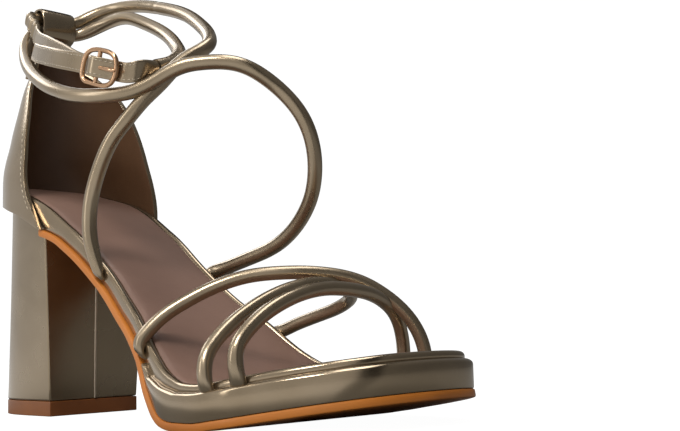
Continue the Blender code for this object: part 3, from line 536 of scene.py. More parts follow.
insock_sheet = grained_sheet(
    "insock_leather", light=(0.235, 0.135, 0.098), deep=(0.190, 0.106, 0.076),
    pebble_scale=1500.0, roughness=0.48, bump=0.12,
)
insock_loops = [(steady(-INSOCK_EDGE - inset), under_rim(drop)) for inset, drop in INSOCK_TURN]
insock = sole_layer("insock_sheet", insock_loops, 0.0, 1.0, across=16, sag=0.0006)
insock.data.materials.append(insock_sheet)
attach(insock, "root")
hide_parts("insock")

# Platform: a low forefoot slab wrapped in the same champagne patent, lasted
# over its soft shoulder and tapering to nothing under the shank.
LEDGE_WIDTH = 0.0010
LEDGE_GROWTH = 0.0016
PLATFORM_REAR = 0.583
SHOULDER = 0.0017
SHOULDER_INSET = 0.0025
# 1 where the outsole hugs the footbed, and 0 under the full platform
WEDGE = (
    (0.000, 1.00),
    (0.572, 1.00),
    (0.586, 0.93),
    (0.606, 0.76),
    (0.628, 0.50),
    (0.648, 0.25),
    (0.664, 0.10),
    (0.679, 0.03),
    (0.694, 0.00),
    (1.000, 0.00),
)
# How the ledge outside the footbed's edge widens towards the forefoot
LEDGE = (
    (0.00, 0.0),
    (0.56, 0.0),
    (0.62, 0.6),
    (0.68, 1.0),
    (1.00, 1.0),
)


def outsole_top(station):
    ground = OUTSOLE_THICKNESS + smooth(PROFILE, station, 2) * TOE_SPRING
    hugging = rim_bottom(station) - CLEARANCE
    return ground + smooth(WEDGE, station, 1) * (hugging - ground)


def ledge(moved=0.0):
    return lambda station: LEDGE_WIDTH + smooth(LEDGE, station, 1) * LEDGE_GROWTH + moved


def platform_depth(station):
    return rim_bottom(station) - 2 * CLEARANCE - outsole_top(station)


def platform_shoulder(share):
    def height(station):
        drop = share * min(SHOULDER, 0.5 * platform_depth(station))
        return rim_bottom(station) + CLEARANCE - drop, 0.0

    return height


def platform_foot(share):
    def height(station):
        rise = share * min(EDGE_ROUND, 0.4 * platform_depth(station))
        return outsole_top(station) + 0.3 * CLEARANCE + rise, 0.0

    return height


platform_loops = []
for angle in range(90, -1, -15):
    moved = -SHOULDER_INSET * (1 - cos(radians(angle)))
    platform_loops.append((ledge(moved), platform_shoulder(1 - sin(radians(angle)))))
for inset, rise in EDGE_LOOPS:
    platform_loops.append((ledge(-inset * EDGE_ROUND), platform_foot(rise)))
platform = sole_layer("platform_wrap", platform_loops, PLATFORM_REAR, 1.0)
platform.data.materials.append(champagne)
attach(platform, "root")
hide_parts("platform")

# Outsole: a thin tan unit moulded to the whole underside from the heel's
# breast to the toe, cemented on, with its cut edge painted warm tan.
HEEL_BREAST = 0.0460
OUTSOLE_REAR = (HEEL_BREAST + CLEARANCE) / SOLE_LENGTH
# Share of the length over which its cut end turns from upright to square
OUTSOLE_END = 0.05
# Its painted edge: how far out of the ledge, and how deep as a share of the thickness
OUTSOLE_EDGE = (
    (-0.0003, 0.0),
    (0.0001, 0.05),
    (0.0002, 0.20),
    (0.0002, 0.78),
    (0.00005, 0.92),
    (-0.0004, 1.0),
)


def outsole_under(station):
    step = 0.002
    slope = (outsole_top(station + step) - outsole_top(station - step)) / (2 * step * SOLE_LENGTH)
    if outsole_top(station) <= OUTSOLE_THICKNESS:
        slope = 0.0
    length = (1 + slope * slope) ** 0.5
    shift = OUTSOLE_THICKNESS * slope / length
    square = min((station - OUTSOLE_REAR) / OUTSOLE_END, 1.0)
    drop = OUTSOLE_THICKNESS / length + slope * shift * (1 - square)
    return outsole_top(station) - drop, shift * square


def through_outsole(share):
    def height(station):
        top = outsole_top(station)
        under, shift = outsole_under(station)
        return top + share * (under - top), share * shift

    return height


outsole_tan = grained_sheet(
    "outsole_edge_tan", light=(0.58, 0.190, 0.022), deep=(0.48, 0.148, 0.017),
    pebble_scale=700.0, roughness=0.42, bump=0.05,
)
outsole_loops = [(ledge(out), through_outsole(share)) for out, share in OUTSOLE_EDGE]
outsole = sole_layer("outsole_unit", outsole_loops, OUTSOLE_REAR, 1.0)
outsole.data.materials.append(outsole_tan)
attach(outsole, "root")
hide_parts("outsole")

# Heel: a hollow-moulded block wrapped in one sheet of champagne patent, whose
# ends meet in a raised butt seam down the middle of the breast. The seam is
# coloured far lighter than the wrap, as a painted highlight.
HEEL_BOTTOM_WIDTH = 0.0412
HEEL_BOTTOM_BREAST = 0.0440
HEEL_BOTTOM_DEPTH = 0.0454
HEEL_TOP_INSET = 0.0018
TOP_LIFT_THICKNESS = 0.0058
HEEL_SQUARENESS = 3.6
HEEL_SIDE_POINTS = 30
HEEL_LEVELS = 14
SEAM_HALF_WIDTH = 0.00055
SEAM_HEIGHT = 0.00050
SEAM_SUNK = 0.00005
SEAM_FOOT_GAP = 0.0003
SEAM_TOP_GAP = 0.0005
SEAM_COLUMNS = 6
SEAM_ROWS = 20


def heel_bottom_point(side, share):
    depth = 1 - cos(share * pi / 2)
    fullness = (1 - (1 - depth) ** HEEL_SQUARENESS) ** (1 / HEEL_SQUARENESS)
    half = HEEL_BOTTOM_WIDTH / 2 * fullness
    back = HEEL_BOTTOM_BREAST - HEEL_BOTTOM_DEPTH
    return Vector((side * half, -(back + depth * HEEL_BOTTOM_DEPTH)))


def heel_top_point(side, share):
    depth = 1 - cos(share * pi / 2)
    place = edge(side, depth * HEEL_BREAST / SOLE_LENGTH, -HEEL_TOP_INSET)
    return Vector((place.x, max(place.y, -HEEL_BREAST)))


def heel_outline(blend):
    shares = [i / HEEL_SIDE_POINTS for i in range(HEEL_SIDE_POINTS, -1, -1)]
    around = [(OUTER, share) for share in shares] + [(INNER, share) for share in shares[-2::-1]]
    return [heel_bottom_point(*at).lerp(heel_top_point(*at), blend) for at in around]


def heel_wrap(name, levels):
    """Upright loft through levels, each an outline and the heights of its points."""
    ring = len(levels[0][0])

    def place(column, row):
        outline, heights = levels[row]
        return Vector((*outline[column % ring], heights[column % ring]))

    return closed_up(shaped_grid(name, ring, len(levels) - 1, place))


heel_foot = TOP_LIFT_THICKNESS + 0.4 * CLEARANCE
heel_crown = [rim_bottom(-p.y / SOLE_LENGTH) - 0.5 * CLEARANCE for p in heel_outline(1.0)]
heel_levels = []
for level in range(HEEL_LEVELS + 1):
    blend = level / HEEL_LEVELS
    heights = [heel_foot + blend * (high - heel_foot) for high in heel_crown]
    heel_levels.append((heel_outline(blend), heights))
heel_film = metallic_patent(
    "champagne_heel_wrap", light=(0.340, 0.264, 0.174), deep=(0.285, 0.216, 0.136),
    grain_scale=700.0, roughness=(0.20, 0.30), bump=0.05,
)
heel = softened(heel_wrap("heel_wrap", heel_levels), 0.0007)
heel.data.materials.append(heel_film)
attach(heel, "root")
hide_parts("heel_block")

seam_foot = heel_foot + SEAM_FOOT_GAP
seam_top = rim_bottom(HEEL_BREAST / SOLE_LENGTH) - SEAM_TOP_GAP


def seam_corner(column, row):
    angle = pi * column / SEAM_COLUMNS
    z = seam_foot + row / SEAM_ROWS * (seam_top - seam_foot)
    rise = (z - heel_foot) / (seam_top - heel_foot)
    breast = HEEL_BOTTOM_BREAST + rise * (HEEL_BREAST - HEEL_BOTTOM_BREAST)
    y = SEAM_SUNK - breast - SEAM_HEIGHT * sin(angle)
    return Vector((SEAM_HALF_WIDTH * cos(angle), y, z))


heel_seam = closed_up(shaped_grid("heel_butt_seam", SEAM_COLUMNS, SEAM_ROWS, seam_corner))
# Painted highlight: the seam is the wrap's own patent, coloured far lighter so that it shows as a bright
# line.
seam_highlight_film = metallic_patent(
    "champagne_heel_seam_painted_highlight", light=(0.62, 0.53, 0.41), deep=(0.52, 0.43, 0.32),
    grain_scale=900.0, roughness=(0.42, 0.52), bump=0.05,
)
heel_seam.data.materials.append(seam_highlight_film)
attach(heel_seam, "root")

# Top lift: a hard brown rubber piece under the heel, nailed on, trimmed to the
# heel's foot and just broken along its edges.
lift_brown = grained_sheet(
    "top_lift_rubber", light=(0.290, 0.100, 0.026), deep=(0.190, 0.062, 0.015),
    pebble_scale=900.0, roughness=0.40, bump=0.08,
)
lift_heights = (0.0, 0.0003, 0.0015, 0.0030, 0.0045, TOP_LIFT_THICKNESS)
lift_levels = [(heel_outline(0.0), [z] * (2 * HEEL_SIDE_POINTS + 1)) for z in lift_heights]
top_lift = softened(heel_wrap("top_lift_rubber", lift_levels), 0.0003, 2)
top_lift.data.materials.append(lift_brown)
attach(top_lift, "root")
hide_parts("top_lift")

# Counter: a stiffened heel cup of champagne patent outside and brown lining
# inside, closed at its top line, stitched round the edge and lasted under. The
# lining's brown is darkened further as painted shade inside the cup.
COUNTER = (
    # height share, outer and inner half, outer front, inner front and back, roundness
    (0.00, 0.641, 0.641, 0.2256, 0.2279, -0.0102, 3.0),
    (0.12, 0.640, 0.650, 0.1814, 0.2288, -0.0126, 2.8),
    (0.25, 0.612, 0.640, 0.1558, 0.2242, -0.0112, 2.4),
    (0.40, 0.552, 0.618, 0.1340, 0.2084, -0.0052, 2.1),
    (0.55, 0.465, 0.586, 0.1149, 0.1837, 0.0035, 2.0),
    (0.70, 0.361, 0.525, 0.0884, 0.1465, 0.0140, 1.9),
    (0.82, 0.255, 0.381, 0.0698, 0.1047, 0.0256, 1.8),
    (0.91, 0.202, 0.236, 0.0628, 0.0698, 0.0353, 1.7),
    (1.00, 0.178, 0.178, 0.0619, 0.0619, 0.0442, 1.6),
)
COUNTER_WALL = 0.0018
COUNTER_SIDE = 30
COUNTER_ROWS = 34
# Shares of the height up to which the wall hugs the sole, and over which it leaves it
COUNTER_LASTED = 0.10
COUNTER_FREED = 0.25
# The stitched line round the edge: its share of each side, its foot and its top
STITCHED_SHARE = 0.955
STITCHED_FOOT = 0.06
STITCHED_TOP = 0.95
KEEPER_STATION = 0.0628
KEEPER_RISE = 0.963
KEEPER_HEIGHT = 0.0158
ANKLE_RISE = 0.075


def over(across, station, rise):
    """Point beside the long axis and above the rim: shares of the ball, length and ankle rise."""
    height = rim_top(min(max(station, 0.0), 1.0)) + rise * ANKLE_RISE
    return Vector((across * BALL_HALF, -station * SOLE_LENGTH, height))


keeper_centre = over(0.0, KEEPER_STATION, KEEPER_RISE)
counter_crest = keeper_centre.z - KEEPER_HEIGHT / 2 - CLEARANCE


def counter_point(side, share, up):
    """Point on the counter's outer face: share runs from the back line to a front edge."""
    front = smooth(COUNTER, up, 3 if side == OUTER else 4) * SOLE_LENGTH
    back = smooth(COUNTER, up, 5) * SOLE_LENGTH
    width = smooth(COUNTER, up, 1 if side == OUTER else 2) * BALL_HALF
    depth = 1 - cos(share * pi / 2)
    along = back + depth * (front - back)
    across = width * (1 - (1 - depth) ** smooth(COUNTER, up, 6)) ** 0.5
    snug = edge(side, depth * front / SOLE_LENGTH, COUNTER_WALL + 1.6 * CLEARANCE)
    free = min(max((up - COUNTER_LASTED) / COUNTER_FREED, 0.0), 1.0)
    free = free * free * (3 - 2 * free)
    x = (1 - free) * abs(snug.x) + free * across
    y = (1 - free) * snug.y - free * along
    base = rim_bottom(max(-y, 0.0) / SOLE_LENGTH)
    return Vector((side * x, y, base + up * (counter_crest - base)))


def counter_face(side, share, up):
    """Point on the counter's outer face and its outward direction."""
    step = 0.01
    here = counter_point(side, share, up)
    beside = counter_point(side, min(share + step, 1.0), up) - counter_point(side, share - step, up)
    above = counter_point(side, share, min(up + step, 1.0)) - counter_point(side, share, up - step)
    outward = beside.cross(above).normalized() * -side
    return here, outward


# Partly painted shade: the lining's own dark brown, made darker still for the shade inside the cup.
lining_and_painted_shade = grained_sheet(
    "counter_lining_and_painted_shade", light=(0.108, 0.049, 0.019), deep=(0.076, 0.033, 0.012),
    pebble_scale=1300.0, roughness=0.55, bump=0.10,
)


def counter_corner(column, row):
    share = (column - COUNTER_SIDE) / COUNTER_SIDE
    return counter_point(OUTER if share < 0 else INNER, abs(share), row / COUNTER_ROWS)


counter = shaped_grid("counter_shell", 2 * COUNTER_SIDE, COUNTER_ROWS, counter_corner)
back_face = max(counter.data.polygons, key=lambda face: face.center.y)
if back_face.normal.y < 0:
    reworked((bpy.ops.mesh.flip_normals, {}))
counter.data.materials.append(champagne)
counter.data.materials.append(lining_and_painted_shade)
wall = counter.modifiers.new("wall", "SOLIDIFY")
wall.thickness = COUNTER_WALL
wall.offset = -1
wall.use_even_offset = True
wall.material_offset = 1
wall.material_offset_rim = 0
bpy.ops.object.modifier_apply(modifier="wall")
counter = softened(counter, 0.00055, 3, 60)
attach(counter, "root")
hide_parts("counter")


def stitched(name, spots, length, thickness, material):
    """One mesh of stitches, each a short flattened thread lying along its way."""
    bpy.ops.object.select_all(action="DESELECT")
    bpy.ops.mesh.primitive_uv_sphere_add(segments=6, ring_count=4, radius=1.0)
    stitch = bpy.context.object
    corners = [corner.co.copy() for corner in stitch.data.vertices]
    sides = [tuple(face.vertices) for face in stitch.data.polygons]
    points, faces = [], []
    for place, way, outward in spots:
        along = way.normalized()
        up = (outward - along * outward.dot(along)).normalized()
        turned_stitch = Matrix((along.cross(up), along, up)).transposed()
        base = len(points)
        for corner in corners:
            laid = Vector((corner.x * thickness, corner.z * length / 2, corner.y * 0.8 * thickness))
            points.append(place + turned_stitch @ laid)
        faces += [tuple(base + index for index in side) for side in sides]
    thread = bpy.data.meshes.new(name)
    thread.from_pydata(points, [], faces)
    stitch.data = thread
    stitch.name = name
    reworked((bpy.ops.mesh.normals_make_consistent, {"inside": False}))
    bpy.ops.object.shade_smooth()
    stitch.data.materials.append(material)
    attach(stitch, "root")


def even_spots(line, pitch):
    """Stitch places about pitch apart along a line of points with their outward directions."""
    reach = [0.0]
    for (before, _), (after, _) in zip(line, line[1:]):
        reach.append(reach[-1] + (after - before).length)
    count = int(reach[-1] / pitch)
    spots = []
    for number in range(count):
        at = (number + 0.5) * reach[-1] / count
        index = min(max(bisect_right(reach, at) - 1, 0), len(line) - 2)
        share = (at - reach[index]) / (reach[index + 1] - reach[index])
        (before, out_before), (after, out_after) = line[index], line[index + 1]
        spots.append((before.lerp(after, share), after - before, out_before.lerp(out_after, share)))
    return spots


thread_gold = metallic_patent(
    "champagne_thread", light=(0.46, 0.40, 0.31), deep=(0.36, 0.30, 0.22),
    grain_scale=3000.0, roughness=(0.38, 0.50), bump=0.10,
)
edge_heights = [STITCHED_FOOT + (STITCHED_TOP - STITCHED_FOOT) * step / 59 for step in range(60)]
counter_line = [counter_face(OUTER, STITCHED_SHARE, up) for up in edge_heights]
for step in range(1, 20):
    counter_line.append(counter_face(OUTER, STITCHED_SHARE * (1 - step / 20), STITCHED_TOP))
for step in range(20):
    counter_line.append(counter_face(INNER, max(STITCHED_SHARE * step / 19, 0.02), STITCHED_TOP))
counter_line += [counter_face(INNER, STITCHED_SHARE, up) for up in edge_heights[-2::-1]]
counter_spots = even_spots(counter_line, pitch=0.0027)
stitched("counter_stitches", counter_spots, 0.0020, 0.00022, thread_gold)

# Vamp straps: three round cords, each a tube of champagne patent over a soft
# filling. Their ends are pressed flat, gathered and glued under the footbed.
ROUND, FLAT = 1.0, 0.45
# Rounds of easing, how strong it is at the ends and how much it grows, and over what reach
EASE_ROUNDS = 22
END_EASE = 0.08
EASE_GROWTH = 0.42
EASE_REACH = 0.006
COARSE_SPACING = 0.006
# Gathers round a pressed end: their place from the end, their reach and their number
GATHER_PLACE = 0.006
GATHER_REACH = 0.0045
GATHERS_ROUND = 7
SLANTED_TIP = 0.008
VAMP_CORD_DIAMETER = 0.0048
ROOT_WIDTH = 0.0054
ROOT_THICKNESS = 0.0016
ROOT_TUCK = 0.0045
ROOT_LIFT = 0.0007


def curve_rows(rows, spacing):
    """Rows of numbers on a smooth curve through the given ones, about spacing apart."""
    rows = [tuple(row) for row in rows]
    spans = [(Vector(b[:3]) - Vector(a[:3])).length for a, b in zip(rows, rows[1:])]
    rates = [[(y - x) / span for x, y in zip(a, b)] for a, b, span in zip(rows, rows[1:], spans)]
    slopes = [rates[0]]
    for i in range(1, len(rates)):
        share = spans[i - 1] / (spans[i - 1] + spans[i])
        slopes.append([x * (1 - share) + y * share for x, y in zip(rates[i - 1], rates[i])])
    slopes.append(rates[-1])
    smoothed = [rows[0]]
    for i, span in enumerate(spans):
        steps = max(1, ceil(span / spacing))
        for step in range(1, steps + 1):
            t = step / steps
            h = (1 + 2 * t) * (1 - t) ** 2, t * t * (3 - 2 * t), t * (1 - t) ** 2, t * t * (t - 1)
            row = []
            for a, b, c, d in zip(rows[i], rows[i + 1], slopes[i], slopes[i + 1]):
                row.append(h[0] * a + h[1] * b + span * (h[2] * c + h[3] * d))
            smoothed.append(tuple(row))
    return smoothed


def square_to(direction, tangent):
    return (direction - tangent * direction.dot(tangent)).normalized()


def carried_across(tangents, reach, first, last):
    """Width directions: the first and last rows keep the given ones, the rest turn evenly between."""
    count = len(tangents)
    across = [square_to(way, tangents[i]) for i, way in enumerate(first)]
    for i in range(len(first), count):
        carried = tangents[i - 1].rotation_difference(tangents[i]) @ across[-1]
        across.append(square_to(carried, tangents[i]))
    begin, end = len(first) - 1, count - len(last)
    wanted = square_to(last[0], tangents[end])
    flip = 1 if wanted.dot(across[end]) > 0 else -1
    wanted = wanted * flip
    twist = across[end].angle(wanted)
    if across[end].cross(wanted).dot(tangents[end]) < 0:
        twist = -twist
    for i in range(begin, end + 1):
        share = (reach[i] - reach[begin]) / (reach[end] - reach[begin])
        across[i] = Matrix.Rotation(twist * share, 3, tangents[i]) @ across[i]
    for i in range(end + 1, count):
        across[i] = square_to(last[i - end], tangents[i]) * flip
    return across


def ways_along(rows):
    """Centres, tangents and reach of a strap's rows."""
    centres = [Vector(row[:3]) for row in rows]
    end = len(rows) - 1
    tangents = [(centres[min(i + 1, end)] - centres[max(i - 1, 0)]).normalized() for i in range(end + 1)]
    reach = [0.0]
    for i in range(end):
        reach.append(reach[-1] + (centres[i + 1] - centres[i]).length)
    return centres, tangents, reach


def eased(rows):
    """Take the small waves out of a strap's line, but hold its tight turns near the ends."""
    rows = [list(row) for row in rows]
    _, _, reach = ways_along(rows)
    for _ in range(EASE_ROUNDS):
        before = rows
        rows = [list(row) for row in before]
        for i in range(1, len(rows) - 1):
            near = min(reach[i], reach[-1] - reach[i])
            ease = END_EASE + EASE_GROWTH * min(1.0, max(0.0, near / EASE_REACH - 1))
            for k in range(len(rows[i])):
                rows[i][k] += ease * ((before[i - 1][k] + before[i + 1][k]) / 2 - before[i][k])
    return rows


def strap_rows(rows, spacing, first, last=None):
    """Fine rows of a strap: centre, tangent, width and thickness ways, half sizes, roundness, reach."""
    if last is not None:
        rows = curve_rows(rows, COARSE_SPACING)
        _, tangents, reach = ways_along(rows)
        across = carried_across(tangents, reach, first, last)
        rows = [(*row, *way) for row, way in zip(rows, across)]
    rows = eased(curve_rows(rows, spacing))
    fine = []
    for row, centre, tangent, reached in zip(rows, *ways_along(rows)):
        way = Vector(first) if last is None else Vector(row[6:9])
        across = square_to(way, tangent)
        fine.append([centre, tangent, across, tangent.cross(across), row[3], row[4], row[5], reached])
    return fine


def bell(place, middle, width):
    return exp(-(((place - middle) / width) ** 2))


def strap_skin(name, rows, sides, gathers=0.0, slant=0.0):
    """Skin of a strap; its pressed ends are gathered, or its last end is cut on a slant."""
    length = rows[-1][7]

    def place(column, row):
        centre, tangent, across, thick, half_width, half_thickness, roundness, reach = rows[row]
        angle = 2 * pi * (column % sides + 0.5) / sides
        c, s = cos(angle), sin(angle)
        wide = half_width * abs(c) ** roundness * (1 if c > 0 else -1)
        high = half_thickness * abs(s) ** roundness * (1 if s > 0 else -1)
        near = min(reach, length - reach)
        gather = 1 + gathers * bell(near, GATHER_PLACE, GATHER_REACH) * cos(GATHERS_ROUND * angle)
        pulled = slant * wide * max(0.0, 1 - (length - reach) / SLANTED_TIP)
        return centre + across * wide + thick * high * gather + tangent * pulled

    return closed_up(shaped_grid(name, sides, len(rows) - 1, place, 60), 60)


def creased(rows, creases):
    """Press soft troughs and ridges across a strap: place along it, depth and width of each."""
    for row in rows:
        for at, depth, width in creases:
            pressed = 1 - depth * bell(row[7], at, width)
            row[4] *= pressed
            row[5] *= pressed
    return rows


def root_rows(side, station, under_footbed, crest=CLEARANCE):
    """A strap's pressed end: tucked in level under the footbed's edge, then up beside the rim."""
    half = ROOT_THICKNESS / 2
    beside = CLEARANCE + half
    lift = half + ROOT_LIFT if under_footbed else -CLEARANCE - half
    rows = []
    for offset, up, swell in (
        (-ROOT_TUCK, 0.0, 1.0),
        (-0.3 * ROOT_TUCK, 0.0, 1.0),
        (0.55 * half, 0.35 * half, 1.3),
        (1.4 * beside, 2.6 * half, 2.3),
    ):
        place = edge(side, station, offset)
        height = rim_bottom(-place.y / SOLE_LENGTH) + lift + up
        rows.append((place.x, place.y, height, ROOT_WIDTH / 2, swell * half, 0.7 + 0.13 * swell))
    place = edge(side, station, 1.7 * beside)
    height = max(rim_bottom(station) + 4.2 * half, rim_top(station) + crest)
    rows.append((place.x, place.y, height, 0.92 * ROOT_WIDTH / 2, 2.9 * half, 1.0))
    return rows


def root_acrosses(side, station):
    run = edge(side, station + 0.01) - edge(side, station - 0.01)
    sloped = Vector((run.x, run.y, rim_bottom(station + 0.01) - rim_bottom(station - 0.01)))
    level = Vector((run.x, run.y, 0.0))
    return [sloped, sloped, sloped, level, level]


def round_row(place, radius, roundness=ROUND):
    return (*place, radius, radius, roundness)


def free_rows(points, radius):
    return [round_row(over(*point), radius) for point in points]


def joined(name, pieces):
    """One piece made of several."""
    bpy.ops.object.select_all(action="DESELECT")
    for piece in pieces:
        piece.select_set(True)
    bpy.context.view_layer.objects.active = pieces[0]
    bpy.ops.object.join()
    pieces[0].name = name
    return pieces[0]


VAMP_ACROSS = (
    (-0.816, 0.580, 0.034),
    (-0.762, 0.586, 0.086),
    (-0.687, 0.595, 0.148),
    (-0.608, 0.605, 0.203),
    (-0.532, 0.615, 0.251),
    (-0.446, 0.627, 0.304),
    (-0.353, 0.641, 0.356),
    (-0.257, 0.656, 0.400),
    (-0.155, 0.672, 0.435),
    (0.060, 0.708, 0.472),
    (0.289, 0.741, 0.472),
    (0.590, 0.786, 0.412),
    (0.747, 0.808, 0.340),
    (0.890, 0.826, 0.250),
    (0.995, 0.839, 0.140),
)
VAMP_RISING = (
    (-1.040, 0.768, 0.080),
    (-0.855, 0.762, 0.188),
    (-0.530, 0.757, 0.297),
    (-0.193, 0.758, 0.375),
    (0.181, 0.760, 0.415),
    (0.410, 0.762, 0.410),
    (0.600, 0.759, 0.382),
    (0.715, 0.742, 0.362),
    (0.790, 0.699, 0.314),
    (0.810, 0.640, 0.215),
    (0.775, 0.584, 0.060),
)
VAMP_FRONT = (
    (-1.010, 0.826, 0.080),
    (-0.831, 0.826, 0.199),
    (-0.542, 0.829, 0.290),
    (-0.181, 0.829, 0.346),
    (0.241, 0.825, 0.351),
    (0.651, 0.813, 0.320),
    (0.904, 0.804, 0.251),
    (1.031, 0.796, 0.150),
)
strap_film = metallic_patent(
    "champagne_strap", light=(0.375, 0.295, 0.200), deep=(0.315, 0.243, 0.158),
    grain_scale=1100.0, roughness=(0.24, 0.33), bump=0.08,
)
# Each root: its side, its station, whether it lies under the footbed, and its crest
vamp_cords = []
for label, route, first, last in (
    ("vamp_cord_across", VAMP_ACROSS, (OUTER, 0.576, True, -0.0020), (INNER, 0.843, False)),
    ("vamp_cord_rising", VAMP_RISING, (OUTER, 0.772, False), (INNER, 0.550, True, -0.0040)),
    ("vamp_cord_front", VAMP_FRONT, (OUTER, 0.826, False), (INNER, 0.795, False)),
):
    radius = VAMP_CORD_DIAMETER / 2
    rows = root_rows(*first) + free_rows(route, radius) + root_rows(*last)[::-1]
    rows = strap_rows(rows, 0.0011, root_acrosses(*first[:2]), root_acrosses(*last[:2])[::-1])
    cord = strap_skin(label, rows, 24, gathers=0.07)
    cord.data.materials.append(strap_film)
    vamp_cords.append(cord)
vamp = joined("vamp_cords", vamp_cords)
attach(vamp, "root")
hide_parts("vamp_straps")

# Ankle cords: two longer cords of the same kind. Each starts at the waist,
# crosses the instep and rounds the ankle through the keeper at the back.
CORD_DIAMETER = 0.0055
KEPT_CORD_DIAMETER = 0.0047
KEEPER_WIDTH = 0.0160
ANKLE_OUTER = (
    (0.705, 0.422, 0.037),
    (0.728, 0.445, 0.104),
    (0.754, 0.484, 0.213),
    (0.788, 0.523, 0.315),
    (0.810, 0.559, 0.434),
    (0.817, 0.594, 0.584),
    (0.794, 0.624, 0.720),
    (0.762, 0.647, 0.837),
    (0.720, 0.662, 0.935),
    (0.678, 0.671, 1.014),
    (0.620, 0.677, 1.100),
    (0.557, 0.678, 1.177),
    (0.473, 0.674, 1.250),
    (0.395, 0.663, 1.304),
    (0.306, 0.651, 1.347),
    (0.179, 0.641, 1.383),
    (0.064, 0.626, 1.398),
    (-0.024, 0.610, 1.385),
    (-0.113, 0.592, 1.350),
    (-0.202, 0.573, 1.302),
    (-0.289, 0.553, 1.250),
    (-0.434, 0.515, 1.106),
    (-0.542, 0.490, 1.012),
    (-0.675, 0.438, 0.895),
    (-0.771, 0.373, 0.774),
    (-0.771, 0.304, 0.697),
    (-0.687, 0.224, 0.665),
    (-0.530, 0.134, 0.720),
    (-0.405, 0.088, 0.790),
    (-0.315, 0.068, 0.868),
)
ANKLE_RETURN = (
    (0.313, 0.075, 0.955),
    (0.415, 0.108, 1.020),
    (0.482, 0.170, 1.090),
    (0.482, 0.246, 1.104),
    (0.410, 0.328, 1.130),
    (0.241, 0.402, 1.165),
    (0.024, 0.461, 1.190),
    (-0.181, 0.488, 1.173),
    (-0.360, 0.493, 1.148),
)
ANKLE_INNER = (
    (-0.687, 0.392, 0.060),
    (-0.699, 0.389, 0.158),
    (-0.699, 0.391, 0.255),
    (-0.687, 0.399, 0.369),
    (-0.675, 0.419, 0.531),
    (-0.651, 0.442, 0.686),
    (-0.578, 0.472, 0.847),
    (-0.482, 0.491, 0.978),
    (-0.361, 0.508, 1.084),
    (-0.302, 0.514, 1.145),
    (-0.120, 0.524, 1.261),
    (0.024, 0.536, 1.332),
    (0.217, 0.502, 1.363),
    (0.386, 0.438, 1.353),
    (0.530, 0.357, 1.299),
    (0.602, 0.268, 1.230),
    (0.602, 0.165, 1.169),
    (0.520, 0.108, 1.128),
    (0.400, 0.080, 1.075),
    (0.300, 0.066, 1.024),
)
INNER_WAIST_ROOT = (INNER, 0.393, True, -0.0038)
OUTER_WAIST_ROOT = (OUTER, 0.400, True)


def kept_rows(step, first, last):
    """Rows of a cord inside the keeper, half its spacing above or below the middle."""
    radius = KEPT_CORD_DIAMETER / 2
    rows = []
    for across in (first, (first + last) / 2, last):
        place = keeper_centre + Vector((across, 0, step * (radius + CLEARANCE)))
        rows.append(round_row(place, radius))
    return rows


# Creases of the inner cord: place along it, depth and width
CORD_CREASES = ((0.1825, 0.05, 0.0011), (0.2365, 0.09, 0.0010), (0.2420, 0.10, 0.0009))
radius = CORD_DIAMETER / 2
mouth = KEEPER_WIDTH / 2 + 0.0006
upright = [Vector((0, 0, 1))]
outer_rows = root_rows(*INNER_WAIST_ROOT) + free_rows(ANKLE_OUTER, radius)
outer_rows += kept_rows(-1, -mouth, mouth) + free_rows(ANKLE_RETURN, radius)
outer_rows = strap_rows(outer_rows, 0.0012, root_acrosses(*INNER_WAIST_ROOT[:2]), upright)
inner_rows = root_rows(*OUTER_WAIST_ROOT) + free_rows(ANKLE_INNER, radius)
inner_rows += kept_rows(1, mouth, -0.7 * mouth)
inner_rows = strap_rows(inner_rows, 0.0012, root_acrosses(*OUTER_WAIST_ROOT[:2]), upright)
outer_cord = strap_skin("ankle_cord_outer", outer_rows, 26, gathers=0.06)
outer_cord.data.materials.append(strap_film)
inner_cord = strap_skin("ankle_cord_inner", creased(inner_rows, CORD_CREASES), 26, gathers=0.06)
inner_cord.data.materials.append(strap_film)
ankle = joined("ankle_cord_pair", (inner_cord, outer_cord))
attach(ankle, "root")
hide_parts("ankle_cords")

# Keeper: a wide loop of doubled patent, its tail laid down the outside of the
# counter's top, that holds both cords and the ends of the buckle's strap.
KEEPER_THICKNESS = 0.0014
KEEPER_DEPTH = 0.0115
KEEPER_TAIL = 0.0140
keeper_half = KEEPER_THICKNESS / 2
keeper_deep = KEEPER_DEPTH / 2 - keeper_half
keeper_high = KEEPER_HEIGHT / 2 - keeper_half
keeper_path = []
for below in (KEEPER_TAIL, 0.5 * KEEPER_TAIL, 0.0):
    base = rim_bottom(0.0)
    back = smooth(COUNTER, 1 - below / (counter_crest - base), 5) * SOLE_LENGTH
    keeper_path.append((-(back - CLEARANCE - keeper_half), counter_crest - below))
for forward, up in (
    (-1.0, -0.55),
    (-1.0, 0.2),
    (-0.75, 0.75),
    (0.0, 1.0),
    (0.75, 0.75),
    (1.0, 0.1),
    (0.8, -0.7),
    (0.1, -1.0),
):
    keeper_path.append((keeper_centre.y - forward * keeper_deep, keeper_centre.z + up * keeper_high))
keeper_rows = strap_rows(
    [(0.0, y, z, KEEPER_WIDTH / 2, keeper_half, FLAT) for y, z in keeper_path], 0.0008, (1, 0, 0)
)
keeper = softened(strap_skin("keeper_loop", keeper_rows, 32), 0.0003, 2, 60)
keeper.data.materials.append(champagne)
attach(keeper, "root")
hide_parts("keeper")

